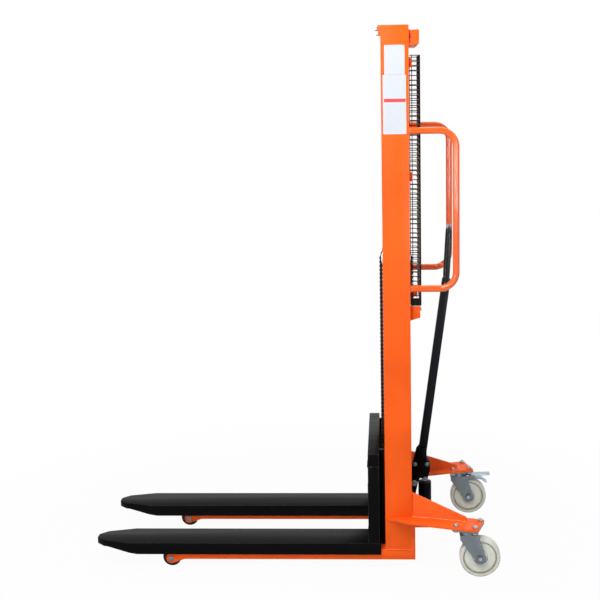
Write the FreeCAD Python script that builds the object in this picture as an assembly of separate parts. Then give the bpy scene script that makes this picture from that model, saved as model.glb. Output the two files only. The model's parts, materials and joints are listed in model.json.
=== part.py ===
import FreeCAD, Part
import math
import os

# Hand pallet stacker: forks towards -X, operator towards +X, left side towards -Y, floor at z = 0.
# Lengths are millimetres. X is counted from the mast's front face until the pieces are written out.

# Fits and cuts
fit = 0.05
running_gap = 0.3
side_gap = 0.5
overrun = 20.0

# Mast
mast_height = 2020.0
mast_width = 534.0
column_depth = 100.0
column_flange_width = 48.0
column_web = 6.0
column_flange = 8.0
stop_tab_depth = 10.0
stop_tab_height = 21.0
stop_bolt_radius = 5.0
stop_bolt_across = 17.0
stop_bolt_head = 9.0

# Top crossbeam behind the columns
beam_depth = 38.0
beam_height = 54.0
beam_below_top = 17.0
beam_sheet = 4.0
beam_chamfer = 5.0
beam_end_inset = 17.0
beam_slot = 7.0

# Legs and their load rollers
leg_clearance = 32.0
leg_height = 40.0
leg_width = 116.0
leg_wall = 6.0
leg_eye_radius = 20.0
leg_eye_ramp = 52.0
roller_radius = 35.0
roller_hub_radius = 15.0
roller_width = 88.0
roller_axle_radius = 8.0
roller_axle_head_radius = 9.5
roller_axle_head = 5.0
roller_reach = 818.0
roller_bay = 43.0

# Base plates
cross_plate_thickness = 12.0
base_plate_thickness = 10.0
base_plate_rise = 8.0
pump_shelf_depth = 61.0
pump_shelf_width = 76.0

# Outriggers
outrigger_thickness = 10.0
outrigger_width = 112.0
outrigger_splay = math.radians(17.6)
outrigger_overhang = 48.0
outrigger_gusset_reach = 88.0
rib_thickness = 10.0
rib_height = 94.0
rib_tip_height = 15.0
rib_length = 207.0
rib_turn = math.radians(14.0)
rib_inset = 12.0

# Casters
wheel_radius = 75.0
wheel_width = 44.0
wheel_crown = 5.0
wheel_recess_radius = 61.0
wheel_recess = 6.0
wheel_hub_radius = 24.0
caster_height = 190.0
caster_behind_mast = 206.0
caster_spread = 660.0
caster_trail = 43.0
caster_plate_length = 96.0
caster_plate_width = 106.0
caster_plate_thickness = 6.0
caster_hole_length = 72.0
caster_hole_width = 80.0
caster_bolt_radius = 5.0
caster_bolt_across = 17.0
caster_bolt_head = 6.5
caster_bolt_tail = 4.0
race_radius = 30.0
race_height = 8.0
kingpin_radius = 8.0
kingpin_head_radius = 13.0
kingpin_head = 4.0
yoke_crown = 8.0
yoke_race_height = 11.7
yoke_cheek = 5.0
yoke_wheel_gap = 3.0
yoke_front = 31.0
yoke_rear = 34.0
yoke_skirt = 16.0
yoke_boss_radius = 23.0
axle_radius = 6.0
axle_across = 19.0
axle_head = 7.0

# Brake pedal on the right caster
brake_offset = 62.0
brake_height = 160.0
brake_pin_radius = 4.0
brake_hub_radius = 8.0
brake_ear_radius = 10.0
brake_reach = 72.0
brake_rise = 10.0
brake_tab = 3.0
brake_width = 36.0
brake_lower_reach = 60.0
brake_lower_drop = 28.0
brake_lower_knee_share = 0.65
brake_knee_drop_share = 0.36

# Forks
fork_overall_width = 554.0
fork_width = 150.0
fork_top = 100.0
fork_depth = 45.0
fork_plate = 6.0
fork_overhang = 294.0
fork_heel_gap = 17.0
fork_heel_step = 1.0
nose_length = 164.0
nose_taper_length = 132.0
nose_tip_width = 92.0
nose_tip_depth = 24.0
nose_flat = 45.0
nose_corner = 30.0

# Carriage
carriage_gap = 22.0
carriage_depth = 42.0
carriage_top = 450.0
upright_width = 80.0
top_beam_height = 50.0
cross_beam_height = 40.0
mid_beam_height = 270.0
bracket_plate = 10.0
bracket_column_gap = 6.0
bracket_end_gap = 12.0
bracket_corner = 18.0
bracket_top_drop = 2.0
bracket_leg_gap = 1.0
guide_gap = 0.5
guide_width = 30.0
guide_web_gap = 5.0
guide_low = 125.0
guide_high = 395.0
guide_axle_radius = 15.0
guide_collar_radius = 20.0
guide_washer = 3.0

# Lift cylinder, pulley and chain
cylinder_radius = 35.0
cylinder_wall = 5.0
cylinder_floor = 20.0
gland_radius = 38.0
gland_height = 18.0
rod_radius = 20.0
piston_height = 40.0
piston_rest = 83.0
rod_show = 12.0
pulley_height = 1148.0
pulley_rise = 107.0
chain_radius = 57.3
chain_height = 15.0
chain_width = 18.0
chain_pitch = 15.875
chain_waist_share = 0.72
pulley_flange = 4.0
pulley_bore_radius = 10.0
yoke_plate = 8.0
yoke_width = 40.0
yoke_bridge_width = 60.0
yoke_bridge_height = 18.0
yoke_top_radius = 20.0
pulley_axle_overhang = 6.0
lug_height = 28.0
lug_width = 28.0
lug_rise = 5.0
anchor_drop = 78.0
anchor_plate = 30.0
anchor_width = 50.0
anchor_edge = 10.0
anchor_bolt_radius = 6.0
anchor_nut_radius = 10.0
anchor_nut = 10.0

# Hand rails
rail_radius = 12.5
rail_wall = 2.5
rail_inset = 15.0
rail_reach = 168.0
rail_low = 1070.0
rail_high = 1646.0
rail_bend = 60.0

# Mesh guard
guard_bottom = 1000.0
guard_top = 1915.0
guard_depth = 42.0
guard_width = 434.0
guard_wire = 3.0
guard_pitch = 18.0
guard_columns = 5
guard_front_gap = 3.0
guard_clip_depth = 12.0
guard_clip_height = 33.0
guard_clip_width = 8.0
guard_clip_low_drop = 437.0
guard_clip_high_drop = 28.0
guard_bracket_height = 55.0
guard_bracket_slope = 11.0
guard_bracket_depth = 37.0
guard_bracket_width = 34.0
guard_bracket_sheet = 4.0
guard_bolt_radius = 4.0
guard_bolt_across = 13.0
guard_bolt_head = 5.5
guard_bolt_drop = 14.0

# Hand pump
pump_x = 156.5
pump_block_length = 44.0
pump_block_width = 70.0
pump_block_height = 36.0
pump_barrel_radius = 20.0
pump_barrel_height = 48.0
plunger_radius = 10.0
plunger_engaged = 20.0
plunger_stroke = 43.0
plunger_floor_gap = 5.0
cap_radius = 25.5
cap_wall = 3.0
cap_top = 250.0
cap_roof = 6.0
cap_skirt = 90.0
crown_radius = 12.0
crown_height = 2.7
spring_radius = 16.0
spring_wire_radius = 2.0
spring_turns = 7
pipe_radius = 5.0
pipe_height = 106.0

# Pump lever
lever_pivot_behind_mast = 14.0
lever_pivot_height = 252.0
lever_pin_radius = 8.0
lever_pin_head_radius = 12.0
lever_pin_head = 4.0
lever_lean = math.radians(7.93)
lever_bar_width = 32.0
lever_bar_thickness = 28.0
lever_bar_wall = 3.0
lever_bar_foot = 51.0
lever_bar_length = 770.0
lever_line_offset = 17.0
cheek_plate = 8.0
cheek_height = 141.0
cheek_arch_front = 23.0
cheek_arch_rear = 32.0
cheek_arch_rise = 16.0
cheek_heel_half = 7.5
cheek_front = 7.0
cheek_front_rise = 58.0
cheek_neck = 10.0
cheek_neck_rise = 128.0
cheek_top_front = 20.0
cheek_top_rear = 50.0
cheek_waist_rise = 95.0
cheek_back = 63.0
cheek_back_rise = 74.0
cheek_back_low_rise = 50.0
cheek_bolt_rise = 75.0
cheek_bolt_radius = 5.0
cheek_bolt_across = 15.0
cheek_bolt_head = 6.0
cheek_bolt_edge = 7.5
heel_roller_radius = 13.0
heel_pin_radius = 6.0
heel_pin_head_radius = 9.0
lever_post_plate = 8.0
lever_post_foot = 70.0
lever_post_lip = 4.0
lever_post_radius = 15.0
loop_tube_radius = 8.5
loop_width = 163.0
loop_height = 216.5
loop_bend = 48.0
loop_lean = math.radians(3.5)
loop_seat = 16.0

# Release pedal
pedal_pivot_offset = 12.0
pedal_pivot_rise = 26.0
pedal_pin_radius = 5.0
pedal_pin_length = 12.0
pedal_arm = 5.0
pedal_arm_height = 14.0
pedal_reach = 67.0
pedal_tread = 30.0
pedal_tread_thickness = 6.0

# Places that follow from the sizes above
half_mast = mast_width / 2
half_forks = fork_overall_width / 2
fork_inner = half_forks - fork_width
fork_underside = fork_top - fork_plate
heel_top = fork_top - fork_heel_step
leg_top = leg_clearance + leg_height
leg_inner = half_mast - leg_width
column_tip = half_mast - column_flange_width
mast_middle = column_depth / 2
cross_plate_rear = column_depth + cross_plate_thickness
base_plate_top = leg_top + base_plate_rise
caster_x = column_depth + caster_behind_mast
caster_y = caster_spread / 2
wheel_x = caster_x + caster_trail
outrigger_top = caster_height + outrigger_thickness
carriage_rear = -carriage_gap
carriage_front = carriage_rear - carriage_depth
chain_front_x = mast_middle - chain_radius
chain_back_x = mast_middle + chain_radius
cylinder_top = pulley_height - pulley_rise
gland_top = cylinder_top + gland_height
anchor_height = cylinder_top - anchor_drop
rod_top = gland_top + rod_show
lug_top = mid_beam_height + lug_rise + lug_height
pump_block_top = base_plate_top + pump_block_height
barrel_top = pump_block_top + pump_barrel_height
crown_top = cap_top + crown_height
lever_x = column_depth + lever_pivot_behind_mast
heel_z = crown_top + running_gap + heel_roller_radius
yoke_half = wheel_width / 2 + yoke_wheel_gap
yoke_outer = yoke_half + yoke_cheek
race_floor = caster_height - caster_plate_thickness - race_height
yoke_top = race_floor - running_gap
yoke_crown_top = yoke_top - yoke_race_height
yoke_crown_floor = yoke_crown_top - yoke_crown
rear_reach = caster_x + brake_offset + brake_reach
fork_reach = roller_reach + fork_overhang
mast_front_x = (fork_reach - rear_reach) / 2

V = FreeCAD.Vector
ALONG_X = V(1, 0, 0)
ALONG_Y = V(0, 1, 0)
ALONG_Z = V(0, 0, 1)
pieces = {}


def box(x, y, z):
    """Block between pairs of X, Y and Z limits."""
    return Part.makeBox(x[1] - x[0], y[1] - y[0], z[1] - z[0], V(x[0], y[0], z[0]))


def round_bar(radius, start, end):
    """Cylinder from one point to another."""
    return Part.makeCylinder(radius, (end - start).Length, start, end - start)


def cross_pin(radius, x, z, y):
    """Cylinder along Y between a pair of Y limits."""
    return round_bar(radius, V(x, y[0], z), V(x, y[1], z))


def plan_plate(points, z):
    """Plate with an outline of X and Y points, between a pair of heights."""
    wire = Part.makePolygon([V(px, py, z[0]) for px, py in points + points[:1]])
    return Part.Face(wire).extrude(V(0, 0, z[1] - z[0]))


def side_plate(points, y):
    """Plate with an outline of X and Z points, between a pair of Y limits."""
    wire = Part.makePolygon([V(px, y[0], pz) for px, pz in points + points[:1]])
    return Part.Face(wire).extrude(V(0, y[1] - y[0], 0))


def end_plate(points, x):
    """Plate with an outline of Y and Z points, between a pair of X limits."""
    wire = Part.makePolygon([V(x[0], py, pz) for py, pz in points + points[:1]])
    return Part.Face(wire).extrude(V(x[1] - x[0], 0, 0))


def join(shapes):
    """One solid from touching shapes."""
    return shapes[0].fuse(shapes[1:]).removeSplitter()


def hexagon(across, height, base, direction):
    """Hexagonal prism that stands on a base point."""
    corner = across / math.sqrt(3)
    turns = [math.radians(60 * k) for k in range(6)]
    points = [V(corner * math.cos(t), corner * math.sin(t), 0) for t in turns]
    prism = Part.Face(Part.makePolygon(points + points[:1])).extrude(V(0, 0, height))
    prism.Placement = FreeCAD.Placement(base, FreeCAD.Rotation(ALONG_Z, direction))
    return prism


def hex_bolt(radius, across, head, seat, direction, length):
    """Bolt whose head stands on the seat point and whose shank runs the other way."""
    shank = round_bar(radius, seat, seat - direction * length)
    return join([hexagon(across, head, seat, direction), shank])


def rounded_route(points, bend):
    """Straight runs joined by tangent arcs of one radius."""
    edges = []
    start = points[0]
    for before, corner, after in zip(points, points[1:], points[2:]):
        back = (before - corner).normalize()
        ahead = (after - corner).normalize()
        half_turn = back.getAngle(ahead) / 2
        setback = bend / math.tan(half_turn)
        inner = (back + ahead).normalize()
        middle = corner + inner * (bend / math.sin(half_turn) - bend)
        first = corner + back * setback
        last = corner + ahead * setback
        edges.append(Part.LineSegment(start, first).toShape())
        edges.append(Part.Arc(first, middle, last).toShape())
        start = last
    edges.append(Part.LineSegment(start, points[-1]).toShape())
    return Part.Wire(edges)


def bent_bar(points, bend, radius):
    """Round bar along a rounded route."""
    route = rounded_route(points, bend)
    section = Part.Wire(Part.makeCircle(radius, points[0], points[1] - points[0]))
    return route.makePipeShell([section], True, False)


def mirrored(shape):
    """The same shape on the right side."""
    return shape.mirror(V(0, 0, 0), ALONG_Y)


def both_sides(name, shape):
    """A left piece and its mirrored right twin, each in a node of its own."""
    pieces["left_" + name] = [shape]
    pieces["right_" + name] = [mirrored(shape)]


def turned_on_arm(x, y):
    """Left-side point from distances along and across the outrigger, counted at the caster."""
    c = math.cos(outrigger_splay)
    s = math.sin(outrigger_splay)
    return (caster_x + x * c + y * s, -caster_y - x * s + y * c)


def columns():
    """C-channel columns, open towards each other, with a stop tab in front at the top."""
    outer = box((0, column_depth), (-half_mast, -column_tip), (leg_top, mast_height))
    hollow = box((column_flange, column_depth - column_flange),
                 (column_web - half_mast, overrun - column_tip),
                 (leg_top - overrun, mast_height + overrun))
    tab = box((-stop_tab_depth, 0), (-half_mast, -column_tip), (mast_height - stop_tab_height, mast_height))
    y = -(half_mast + column_tip) / 2
    z = mast_height - stop_tab_height / 2
    tail = stop_tab_depth + column_flange
    hole = round_bar(stop_bolt_radius + fit, V(-overrun, y, z), V(tail, y, z))
    both_sides("column", join([outer.cut(hollow), tab]).cut(hole))
    bolt = hex_bolt(stop_bolt_radius, stop_bolt_across, stop_bolt_head,
                    V(-stop_tab_depth, y, z), -ALONG_X, tail)
    pieces["mast_bolts"] = [bolt, mirrored(bolt)]


def top_crossbeam():
    """Folded channel behind the columns, with end caps that stop short of them."""
    half = half_mast - beam_end_inset
    top = mast_height - beam_below_top
    rear = column_depth + beam_depth

    def profile(front, inset):
        low = top - beam_height + inset
        bevel = beam_chamfer - inset * math.tan(math.pi / 8)
        return [(front, top - inset), (rear - inset, top - inset), (rear - inset, low + bevel),
                (rear - inset - bevel, low), (front, low)]

    shell = side_plate(profile(column_depth, 0), (-half, half))
    ends = (-half - overrun, half + overrun)
    shell = shell.cut(side_plate(profile(column_depth - overrun, beam_sheet), ends))
    cap = side_plate(profile(column_depth + beam_slot, 0), (-half, beam_sheet - half))
    pieces["top_crossbeam"] = [join([shell, cap, mirrored(cap)])]


def legs():
    """Straddle legs: open channels that end in eyes for the load rollers."""
    walls = []
    y_outer = (-half_mast, leg_wall - half_mast)
    y_inner = (-leg_inner - leg_wall, -leg_inner)
    profile = [(column_depth, leg_clearance), (leg_eye_ramp - roller_reach, leg_clearance),
               (-roller_reach, roller_radius - leg_eye_radius),
               (-roller_reach, roller_radius + leg_eye_radius),
               (leg_eye_radius - roller_reach, leg_top), (column_depth, leg_top)]
    for y in (y_outer, y_inner):
        walls.append(side_plate(profile, y))
        walls.append(cross_pin(leg_eye_radius, -roller_reach, roller_radius, y))
    roof = box((roller_bay - roller_reach, column_depth), (y_outer[1], y_inner[0]),
               (leg_top - leg_wall, leg_top))
    bore = cross_pin(roller_axle_radius + fit, -roller_reach, roller_radius, (-half_mast - overrun, 0))
    both_sides("leg", join(walls + [roof]).cut(bore))


def load_rollers():
    """Load rollers on headed axles between the walls of the legs."""
    inner = (leg_wall - half_mast + running_gap, -leg_inner - leg_wall - running_gap)
    middle = -(half_mast + leg_inner) / 2
    tread = (middle - roller_width / 2, middle + roller_width / 2)
    roller = join([cross_pin(roller_radius, -roller_reach, roller_radius, tread),
                   cross_pin(roller_hub_radius, -roller_reach, roller_radius, inner)])
    bore = cross_pin(roller_axle_radius + fit, -roller_reach, roller_radius, (-half_mast, 0))
    both_sides("load_roller", roller.cut(bore))
    axle = join([cross_pin(roller_axle_radius, -roller_reach, roller_radius, (-half_mast, -leg_inner)),
                 cross_pin(roller_axle_head_radius, -roller_reach, roller_radius,
                           (-half_mast - roller_axle_head, -half_mast)),
                 cross_pin(roller_axle_head_radius, -roller_reach, roller_radius,
                           (-leg_inner, roller_axle_head - leg_inner))])
    pieces["load_roller_axles"] = [axle, mirrored(axle)]


def base():
    """Cross plate behind the columns and the base plate that carries cylinder and pump."""
    z = (base_plate_top - base_plate_thickness, base_plate_top)
    outline = [(-half_mast, leg_clearance), (-leg_inner, leg_clearance), (-leg_inner, base_plate_top),
               (leg_inner, base_plate_top), (leg_inner, leg_clearance), (half_mast, leg_clearance),
               (half_mast, caster_height), (-half_mast, caster_height)]
    plate = end_plate(outline, (column_depth, cross_plate_rear))
    hole = round_bar(pipe_radius + fit, V(0, 0, pipe_height), V(cross_plate_rear + overrun, 0, pipe_height))
    pieces["rear_cross_plate"] = [plate.cut(hole)]
    floor = box((0, cross_plate_rear), (-leg_inner, leg_inner), z)
    shelf_y = pump_shelf_width / 2
    shelf = box((cross_plate_rear, cross_plate_rear + pump_shelf_depth), (-shelf_y, shelf_y), z)
    pieces["base_plate"] = [join([floor, shelf])]


def outriggers():
    """Splayed foot plates with a stiffening rib, level with the caster tops."""
    half = outrigger_width / 2
    outer = turned_on_arm(outrigger_overhang, -half)
    inner = turned_on_arm(outrigger_overhang, half)
    slope = math.tan(outrigger_splay)
    gusset = (outrigger_gusset_reach, outer[1] + (outer[0] - outrigger_gusset_reach) * slope)
    root = inner[1] + (inner[0] - cross_plate_rear) * slope
    outline = [(0, -half_mast), gusset, outer, inner, (cross_plate_rear, root), (column_depth, root),
               (column_depth, -half_mast)]
    foot = plan_plate(outline, (caster_height, outrigger_top))
    rib = side_plate([(-overrun, outrigger_top), (rib_length, outrigger_top),
                      (rib_length, outrigger_top + rib_tip_height),
                      (0, outrigger_top + rib_height), (-overrun, outrigger_top + rib_height)],
                     (-rib_thickness / 2, rib_thickness / 2))
    rib.rotate(V(0, 0, 0), ALONG_Z, -math.degrees(rib_turn))
    rib.translate(V(column_depth, rib_inset - half_mast, 0))
    rib = rib.cut(box((-mast_width, column_depth), (-mast_width, 0), (0, mast_height)))
    arm = join([foot, rib])
    for x, y in caster_holes():
        arm = arm.cut(round_bar(caster_bolt_radius + fit, V(x, y, 0), V(x, y, outrigger_top + overrun)))
    both_sides("outrigger", arm)


def caster_holes():
    """Centres of the four bolts of the left caster."""
    half_x = caster_hole_length / 2
    half_y = caster_hole_width / 2
    return [turned_on_arm(x, y) for x in (-half_x, half_x) for y in (-half_y, half_y)]


def caster_tops():
    """Caster top plates with the fixed race and kingpin, bolted under the outriggers."""
    half_x = caster_plate_length / 2
    half_y = caster_plate_width / 2
    corners = [turned_on_arm(x, y) for x, y in
               ((-half_x, -half_y), (half_x, -half_y), (half_x, half_y), (-half_x, half_y))]
    plate_floor = caster_height - caster_plate_thickness
    plate = plan_plate(corners, (plate_floor, caster_height))
    pin_floor = yoke_crown_floor - running_gap - kingpin_head
    middle = V(caster_x, -caster_y, 0)
    plate = join([plate,
                  round_bar(race_radius, middle + ALONG_Z * race_floor, middle + ALONG_Z * plate_floor),
                  round_bar(kingpin_radius, middle + ALONG_Z * pin_floor, middle + ALONG_Z * race_floor),
                  Part.makeCylinder(kingpin_head_radius, kingpin_head, middle + ALONG_Z * pin_floor)])
    bolts = []
    nuts = []
    for x, y in caster_holes():
        tail = outrigger_top + caster_bolt_head + caster_bolt_tail
        plate = plate.cut(round_bar(caster_bolt_radius + fit, V(x, y, 0), V(x, y, tail)))
        bolts.append(hex_bolt(caster_bolt_radius, caster_bolt_across, caster_bolt_head,
                              V(x, y, plate_floor), -ALONG_Z, tail - plate_floor))
        nut = hexagon(caster_bolt_across, caster_bolt_head, V(x, y, outrigger_top), ALONG_Z)
        nuts.append(nut.cut(round_bar(caster_bolt_radius + fit, V(x, y, 0), V(x, y, tail))))
    pieces["caster_plates"] = [plate, mirrored(plate)]
    pieces["caster_fasteners"] = bolts + nuts + [mirrored(s) for s in bolts + nuts]


def caster_yoke(braked):
    """Swivelling yoke of a caster, centred on Y, with ears and a pin for the brake if it has one."""
    x = (caster_x - yoke_front, caster_x + yoke_rear)
    crown = box(x, (-yoke_outer, yoke_outer), (yoke_crown_floor, yoke_crown_top))
    middle = V(caster_x, 0, 0)
    race = round_bar(race_radius, middle + ALONG_Z * yoke_crown_top, middle + ALONG_Z * yoke_top)
    profile = [(x[0], yoke_crown_top), (x[1], yoke_crown_top), (wheel_x + yoke_boss_radius, wheel_radius),
               (wheel_x - yoke_boss_radius, wheel_radius), (x[0], yoke_crown_top - yoke_skirt)]
    cheeks = []
    for y in ((-yoke_outer, -yoke_half), (yoke_half, yoke_outer)):
        cheeks.append(side_plate(profile, y))
        cheeks.append(cross_pin(yoke_boss_radius, wheel_x, wheel_radius, y))
        if braked:
            pin_x = caster_x + brake_offset
            low = brake_height - brake_ear_radius
            ear = [(x[1], low), (pin_x, low), (pin_x, brake_height + brake_ear_radius),
                   (x[1], yoke_crown_top)]
            cheeks.append(side_plate(ear, y))
            cheeks.append(cross_pin(brake_ear_radius, pin_x, brake_height, y))
    if braked:
        cheeks.append(cross_pin(brake_pin_radius, caster_x + brake_offset, brake_height,
                                (-yoke_outer, yoke_outer)))
    yoke = join([crown, race] + cheeks)
    yoke = yoke.cut(round_bar(kingpin_radius + fit, middle, middle + ALONG_Z * caster_height))
    return yoke.cut(cross_pin(axle_radius + fit, wheel_x, wheel_radius, (-yoke_outer, yoke_outer)))


def caster_wheel():
    """Nylon wheel with a crowned tread, a ring recess on each face and a hub, centred on Y."""
    half = wheel_width / 2
    hub = yoke_half - running_gap
    bore = axle_radius + fit
    floor = half - wheel_recess
    upper = [(wheel_radius, half - wheel_crown), (wheel_radius - wheel_crown, half),
             (wheel_recess_radius, half), (wheel_recess_radius, floor),
             (wheel_hub_radius, floor), (wheel_hub_radius, hub), (bore, hub)]
    lower = [(r, -y) for r, y in reversed(upper)]
    wire = Part.makePolygon([V(r, y, 0) for r, y in lower + upper + lower[:1]])
    wheel = Part.Face(wire).revolve(V(0, 0, 0), ALONG_Y, 360)
    wheel.translate(V(wheel_x, 0, wheel_radius))
    return wheel


def caster_axle():
    """Wheel bolt with a head on one side of the yoke and a nut on the other."""
    seat = V(wheel_x, -yoke_outer, wheel_radius)
    bolt = hex_bolt(axle_radius, axle_across, axle_head, seat, -ALONG_Y, 2 * yoke_outer)
    return join([bolt, hexagon(axle_across, axle_head, V(wheel_x, yoke_outer, wheel_radius), ALONG_Y)])


def brake_pedal():
    """Rocking pedal with a flat upper tab and a lower tab bent down, centred on Y."""
    pin_x = caster_x + brake_offset
    half = brake_width / 2
    knee = brake_lower_reach * brake_lower_knee_share
    knee_drop = brake_lower_drop * brake_knee_drop_share
    upper = [(0, 0), (brake_reach, brake_rise - brake_tab),
             (brake_reach, brake_rise), (0, brake_hub_radius)]
    lower = [(0, brake_tab - brake_hub_radius), (knee, -knee_drop),
             (brake_lower_reach, brake_tab - brake_lower_drop),
             (brake_lower_reach - brake_tab, -brake_lower_drop),
             (knee - brake_tab, -knee_drop - brake_tab), (0, -brake_hub_radius)]
    tabs = [side_plate([(pin_x + x, brake_height + z) for x, z in outline], (-half, half))
            for outline in (upper, lower)]
    hub = cross_pin(brake_hub_radius, pin_x, brake_height, (side_gap - yoke_half, yoke_half - side_gap))
    bore = cross_pin(brake_pin_radius + fit, pin_x, brake_height, (-yoke_half, yoke_half))
    return join([hub] + tabs).cut(bore)


def casters():
    """Two swivel casters, the right one with a brake."""
    for side, y in (("left", -caster_y), ("right", caster_y)):
        parts = {"caster_yoke": caster_yoke(side == "right"), "caster_wheel": caster_wheel(),
                 "caster_axle": caster_axle()}
        for name, shape in parts.items():
            pieces[side + "_" + name] = [shape.translated(V(0, y, 0))]
    pieces["brake_pedal"] = [brake_pedal().translated(V(0, caster_y, 0))]


def forks():
    """Inverted channel forks over the legs, with a tapered nose and a lowered heel under the carriage."""
    nose_x = nose_length - fork_reach
    taper_x = nose_taper_length - fork_reach
    taper = (fork_width - nose_tip_width) / 2
    bottom = fork_top - fork_depth
    tip_outer = -half_forks + taper
    tip_inner = -fork_inner - taper
    outline = [(-fork_heel_gap, -half_forks), (taper_x, -half_forks), (nose_corner - fork_reach, tip_outer),
               (-fork_reach, tip_outer + nose_corner), (-fork_reach, tip_inner - nose_corner),
               (nose_corner - fork_reach, tip_inner), (taper_x, -fork_inner), (-fork_heel_gap, -fork_inner)]
    body = plan_plate(outline, (bottom, fork_top))
    profile = [(-fork_heel_gap, bottom), (-fork_heel_gap, fork_top), (-fork_reach, fork_top),
               (-fork_reach, fork_top - nose_tip_depth),
               (nose_flat - fork_reach, fork_top - nose_tip_depth), (nose_x, bottom)]
    body = body.common(side_plate(profile, (-half_forks, -fork_inner)))
    hollow = box((nose_x, overrun), (fork_plate - half_forks, -fork_inner - fork_plate),
                 (bottom - overrun, fork_underside))
    heel = box((carriage_front, overrun), (-half_forks, -fork_inner), (heel_top, fork_top))
    both_sides("fork", body.cut(hollow).cut(heel))


def carriage():
    """Welded carriage: uprights on the forks, crossbeams with the chain lug, and roller brackets."""
    x = (carriage_front, carriage_rear)
    upright_inner = half_forks - upright_width
    shoulder = carriage_top - top_beam_height
    upright = box(x, (-half_forks, -upright_inner), (heel_top, shoulder))
    pieces["carriage_uprights"] = [upright, mirrored(upright)]
    top_beam = box(x, (-half_forks, half_forks), (shoulder, carriage_top))
    levels = ((mid_beam_height, mid_beam_height + cross_beam_height),
              (heel_top, heel_top + cross_beam_height))
    mid_beam, low_beam = [box(x, (-upright_inner, upright_inner), z) for z in levels]
    half = lug_width / 2
    lug_rear = chain_front_x + chain_height / 2
    lug = box((carriage_rear, lug_rear), (-half, half), (lug_top - lug_height, lug_top))
    pieces["carriage_crossbeams"] = [top_beam, join([mid_beam, lug]), low_beam]
    outer = bracket_column_gap - column_tip
    rear = column_depth - bracket_end_gap
    top = carriage_top - bracket_top_drop
    low = leg_top + bracket_leg_gap
    toe = running_gap - fork_heel_gap
    profile = [(carriage_rear, heel_top), (toe, heel_top), (toe, low), (rear - bracket_corner, low),
               (rear, low + bracket_corner), (rear, top - bracket_corner),
               (rear - bracket_corner, top), (carriage_rear, top)]
    bracket = side_plate(profile, (outer, outer + bracket_plate))
    web = column_web - half_mast
    roller_y = (web + guide_web_gap, web + guide_web_gap + guide_width)
    axles = []
    for level, z in (("upper", guide_high), ("lower", guide_low)):
        bracket = bracket.cut(cross_pin(guide_axle_radius + fit, mast_middle, z, (-half_mast, 0)))
        roller = cross_pin(mast_middle - column_flange - guide_gap, mast_middle, z, roller_y)
        roller = roller.cut(cross_pin(guide_axle_radius + fit, mast_middle, z, (-half_mast, 0)))
        both_sides(level + "_guide_roller", roller)
        washer = roller_y[0] - running_gap
        axle = join([cross_pin(guide_axle_radius, mast_middle, z, (washer, outer + bracket_plate)),
                     cross_pin(guide_collar_radius, mast_middle, z, (washer - guide_washer, washer)),
                     cross_pin(guide_collar_radius, mast_middle, z, (roller_y[1] + running_gap, outer))])
        axles += [axle, mirrored(axle)]
    pieces["roller_brackets"] = [bracket, mirrored(bracket)]
    pieces["guide_roller_axles"] = axles


def lift_cylinder():
    """Single-acting lift cylinder with its gland, and the piston rod with its pulley yoke."""
    bore = cylinder_radius - cylinder_wall
    foot = V(mast_middle, 0, base_plate_top)
    barrel = round_bar(cylinder_radius, foot, V(mast_middle, 0, cylinder_top))
    barrel = barrel.cut(round_bar(bore, foot + ALONG_Z * cylinder_floor, V(mast_middle, 0, cylinder_top)))
    inlet = round_bar(pipe_radius + fit, V(mast_middle, 0, pipe_height), V(column_depth, 0, pipe_height))
    pieces["lift_cylinder"] = [barrel.cut(inlet)]
    seat = V(mast_middle, 0, cylinder_top)
    gland = Part.makeCylinder(gland_radius, gland_height, seat)
    pieces["cylinder_gland"] = [gland.cut(Part.makeCylinder(rod_radius + fit, gland_height, seat))]
    piston_floor = base_plate_top + cylinder_floor + piston_rest
    rod = join([round_bar(rod_radius, V(mast_middle, 0, piston_floor), V(mast_middle, 0, rod_top)),
                Part.makeCylinder(bore - fit, piston_height, V(mast_middle, 0, piston_floor))])
    pieces["piston_rod"] = [rod]
    inner = chain_width / 2 + side_gap + pulley_flange + side_gap
    outer = inner + yoke_plate
    x = (mast_middle - yoke_bridge_width / 2, mast_middle + yoke_bridge_width / 2)
    bridge_top = rod_top + yoke_bridge_height
    plates = [box(x, (-outer, outer), (rod_top, bridge_top))]
    arm_x = (mast_middle - yoke_width / 2, mast_middle + yoke_width / 2)
    for y in ((-outer, -inner), (inner, outer)):
        plates.append(box(arm_x, y, (bridge_top, pulley_height)))
        plates.append(cross_pin(yoke_top_radius, mast_middle, pulley_height, y))
    bore = cross_pin(pulley_bore_radius + fit, mast_middle, pulley_height, (-outer, outer))
    pieces["pulley_yoke"] = [join(plates).cut(bore)]
    end = outer + pulley_axle_overhang
    pieces["pulley_axle"] = [cross_pin(pulley_bore_radius, mast_middle, pulley_height, (-end, end))]


def chain_pulley():
    """Grooved pulley that carries the lifting chain on the piston rod."""
    half = chain_width / 2 + side_gap
    groove = chain_radius - chain_height / 2 - running_gap
    body = cross_pin(groove, mast_middle, pulley_height, (-half, half))
    flanges = [cross_pin(chain_radius, mast_middle, pulley_height, y)
               for y in ((-half - pulley_flange, -half), (half, half + pulley_flange))]
    bore = cross_pin(pulley_bore_radius + fit, mast_middle, pulley_height, (-column_depth, column_depth))
    pieces["chain_pulley"] = [join([body] + flanges).cut(bore)]


def chain_strand(x, bottom, top):
    """Straight run of chain: link plates with a bulge at each pin and a waist between pins."""
    count = max(1, round((top - bottom) / chain_pitch))
    step = (top - bottom) / count
    bulge = chain_height / 2
    waist = bulge * chain_waist_share
    front = []
    for k in range(count):
        z = bottom + k * step
        front += [(-waist, z), (-bulge, z + step / 4), (-bulge, z + 3 * step / 4)]
    front.append((-waist, top))
    back = [(-px, pz) for px, pz in reversed(front)]
    half = chain_width / 2
    return side_plate([(x + px, pz) for px, pz in front + back], (-half, half))


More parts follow.
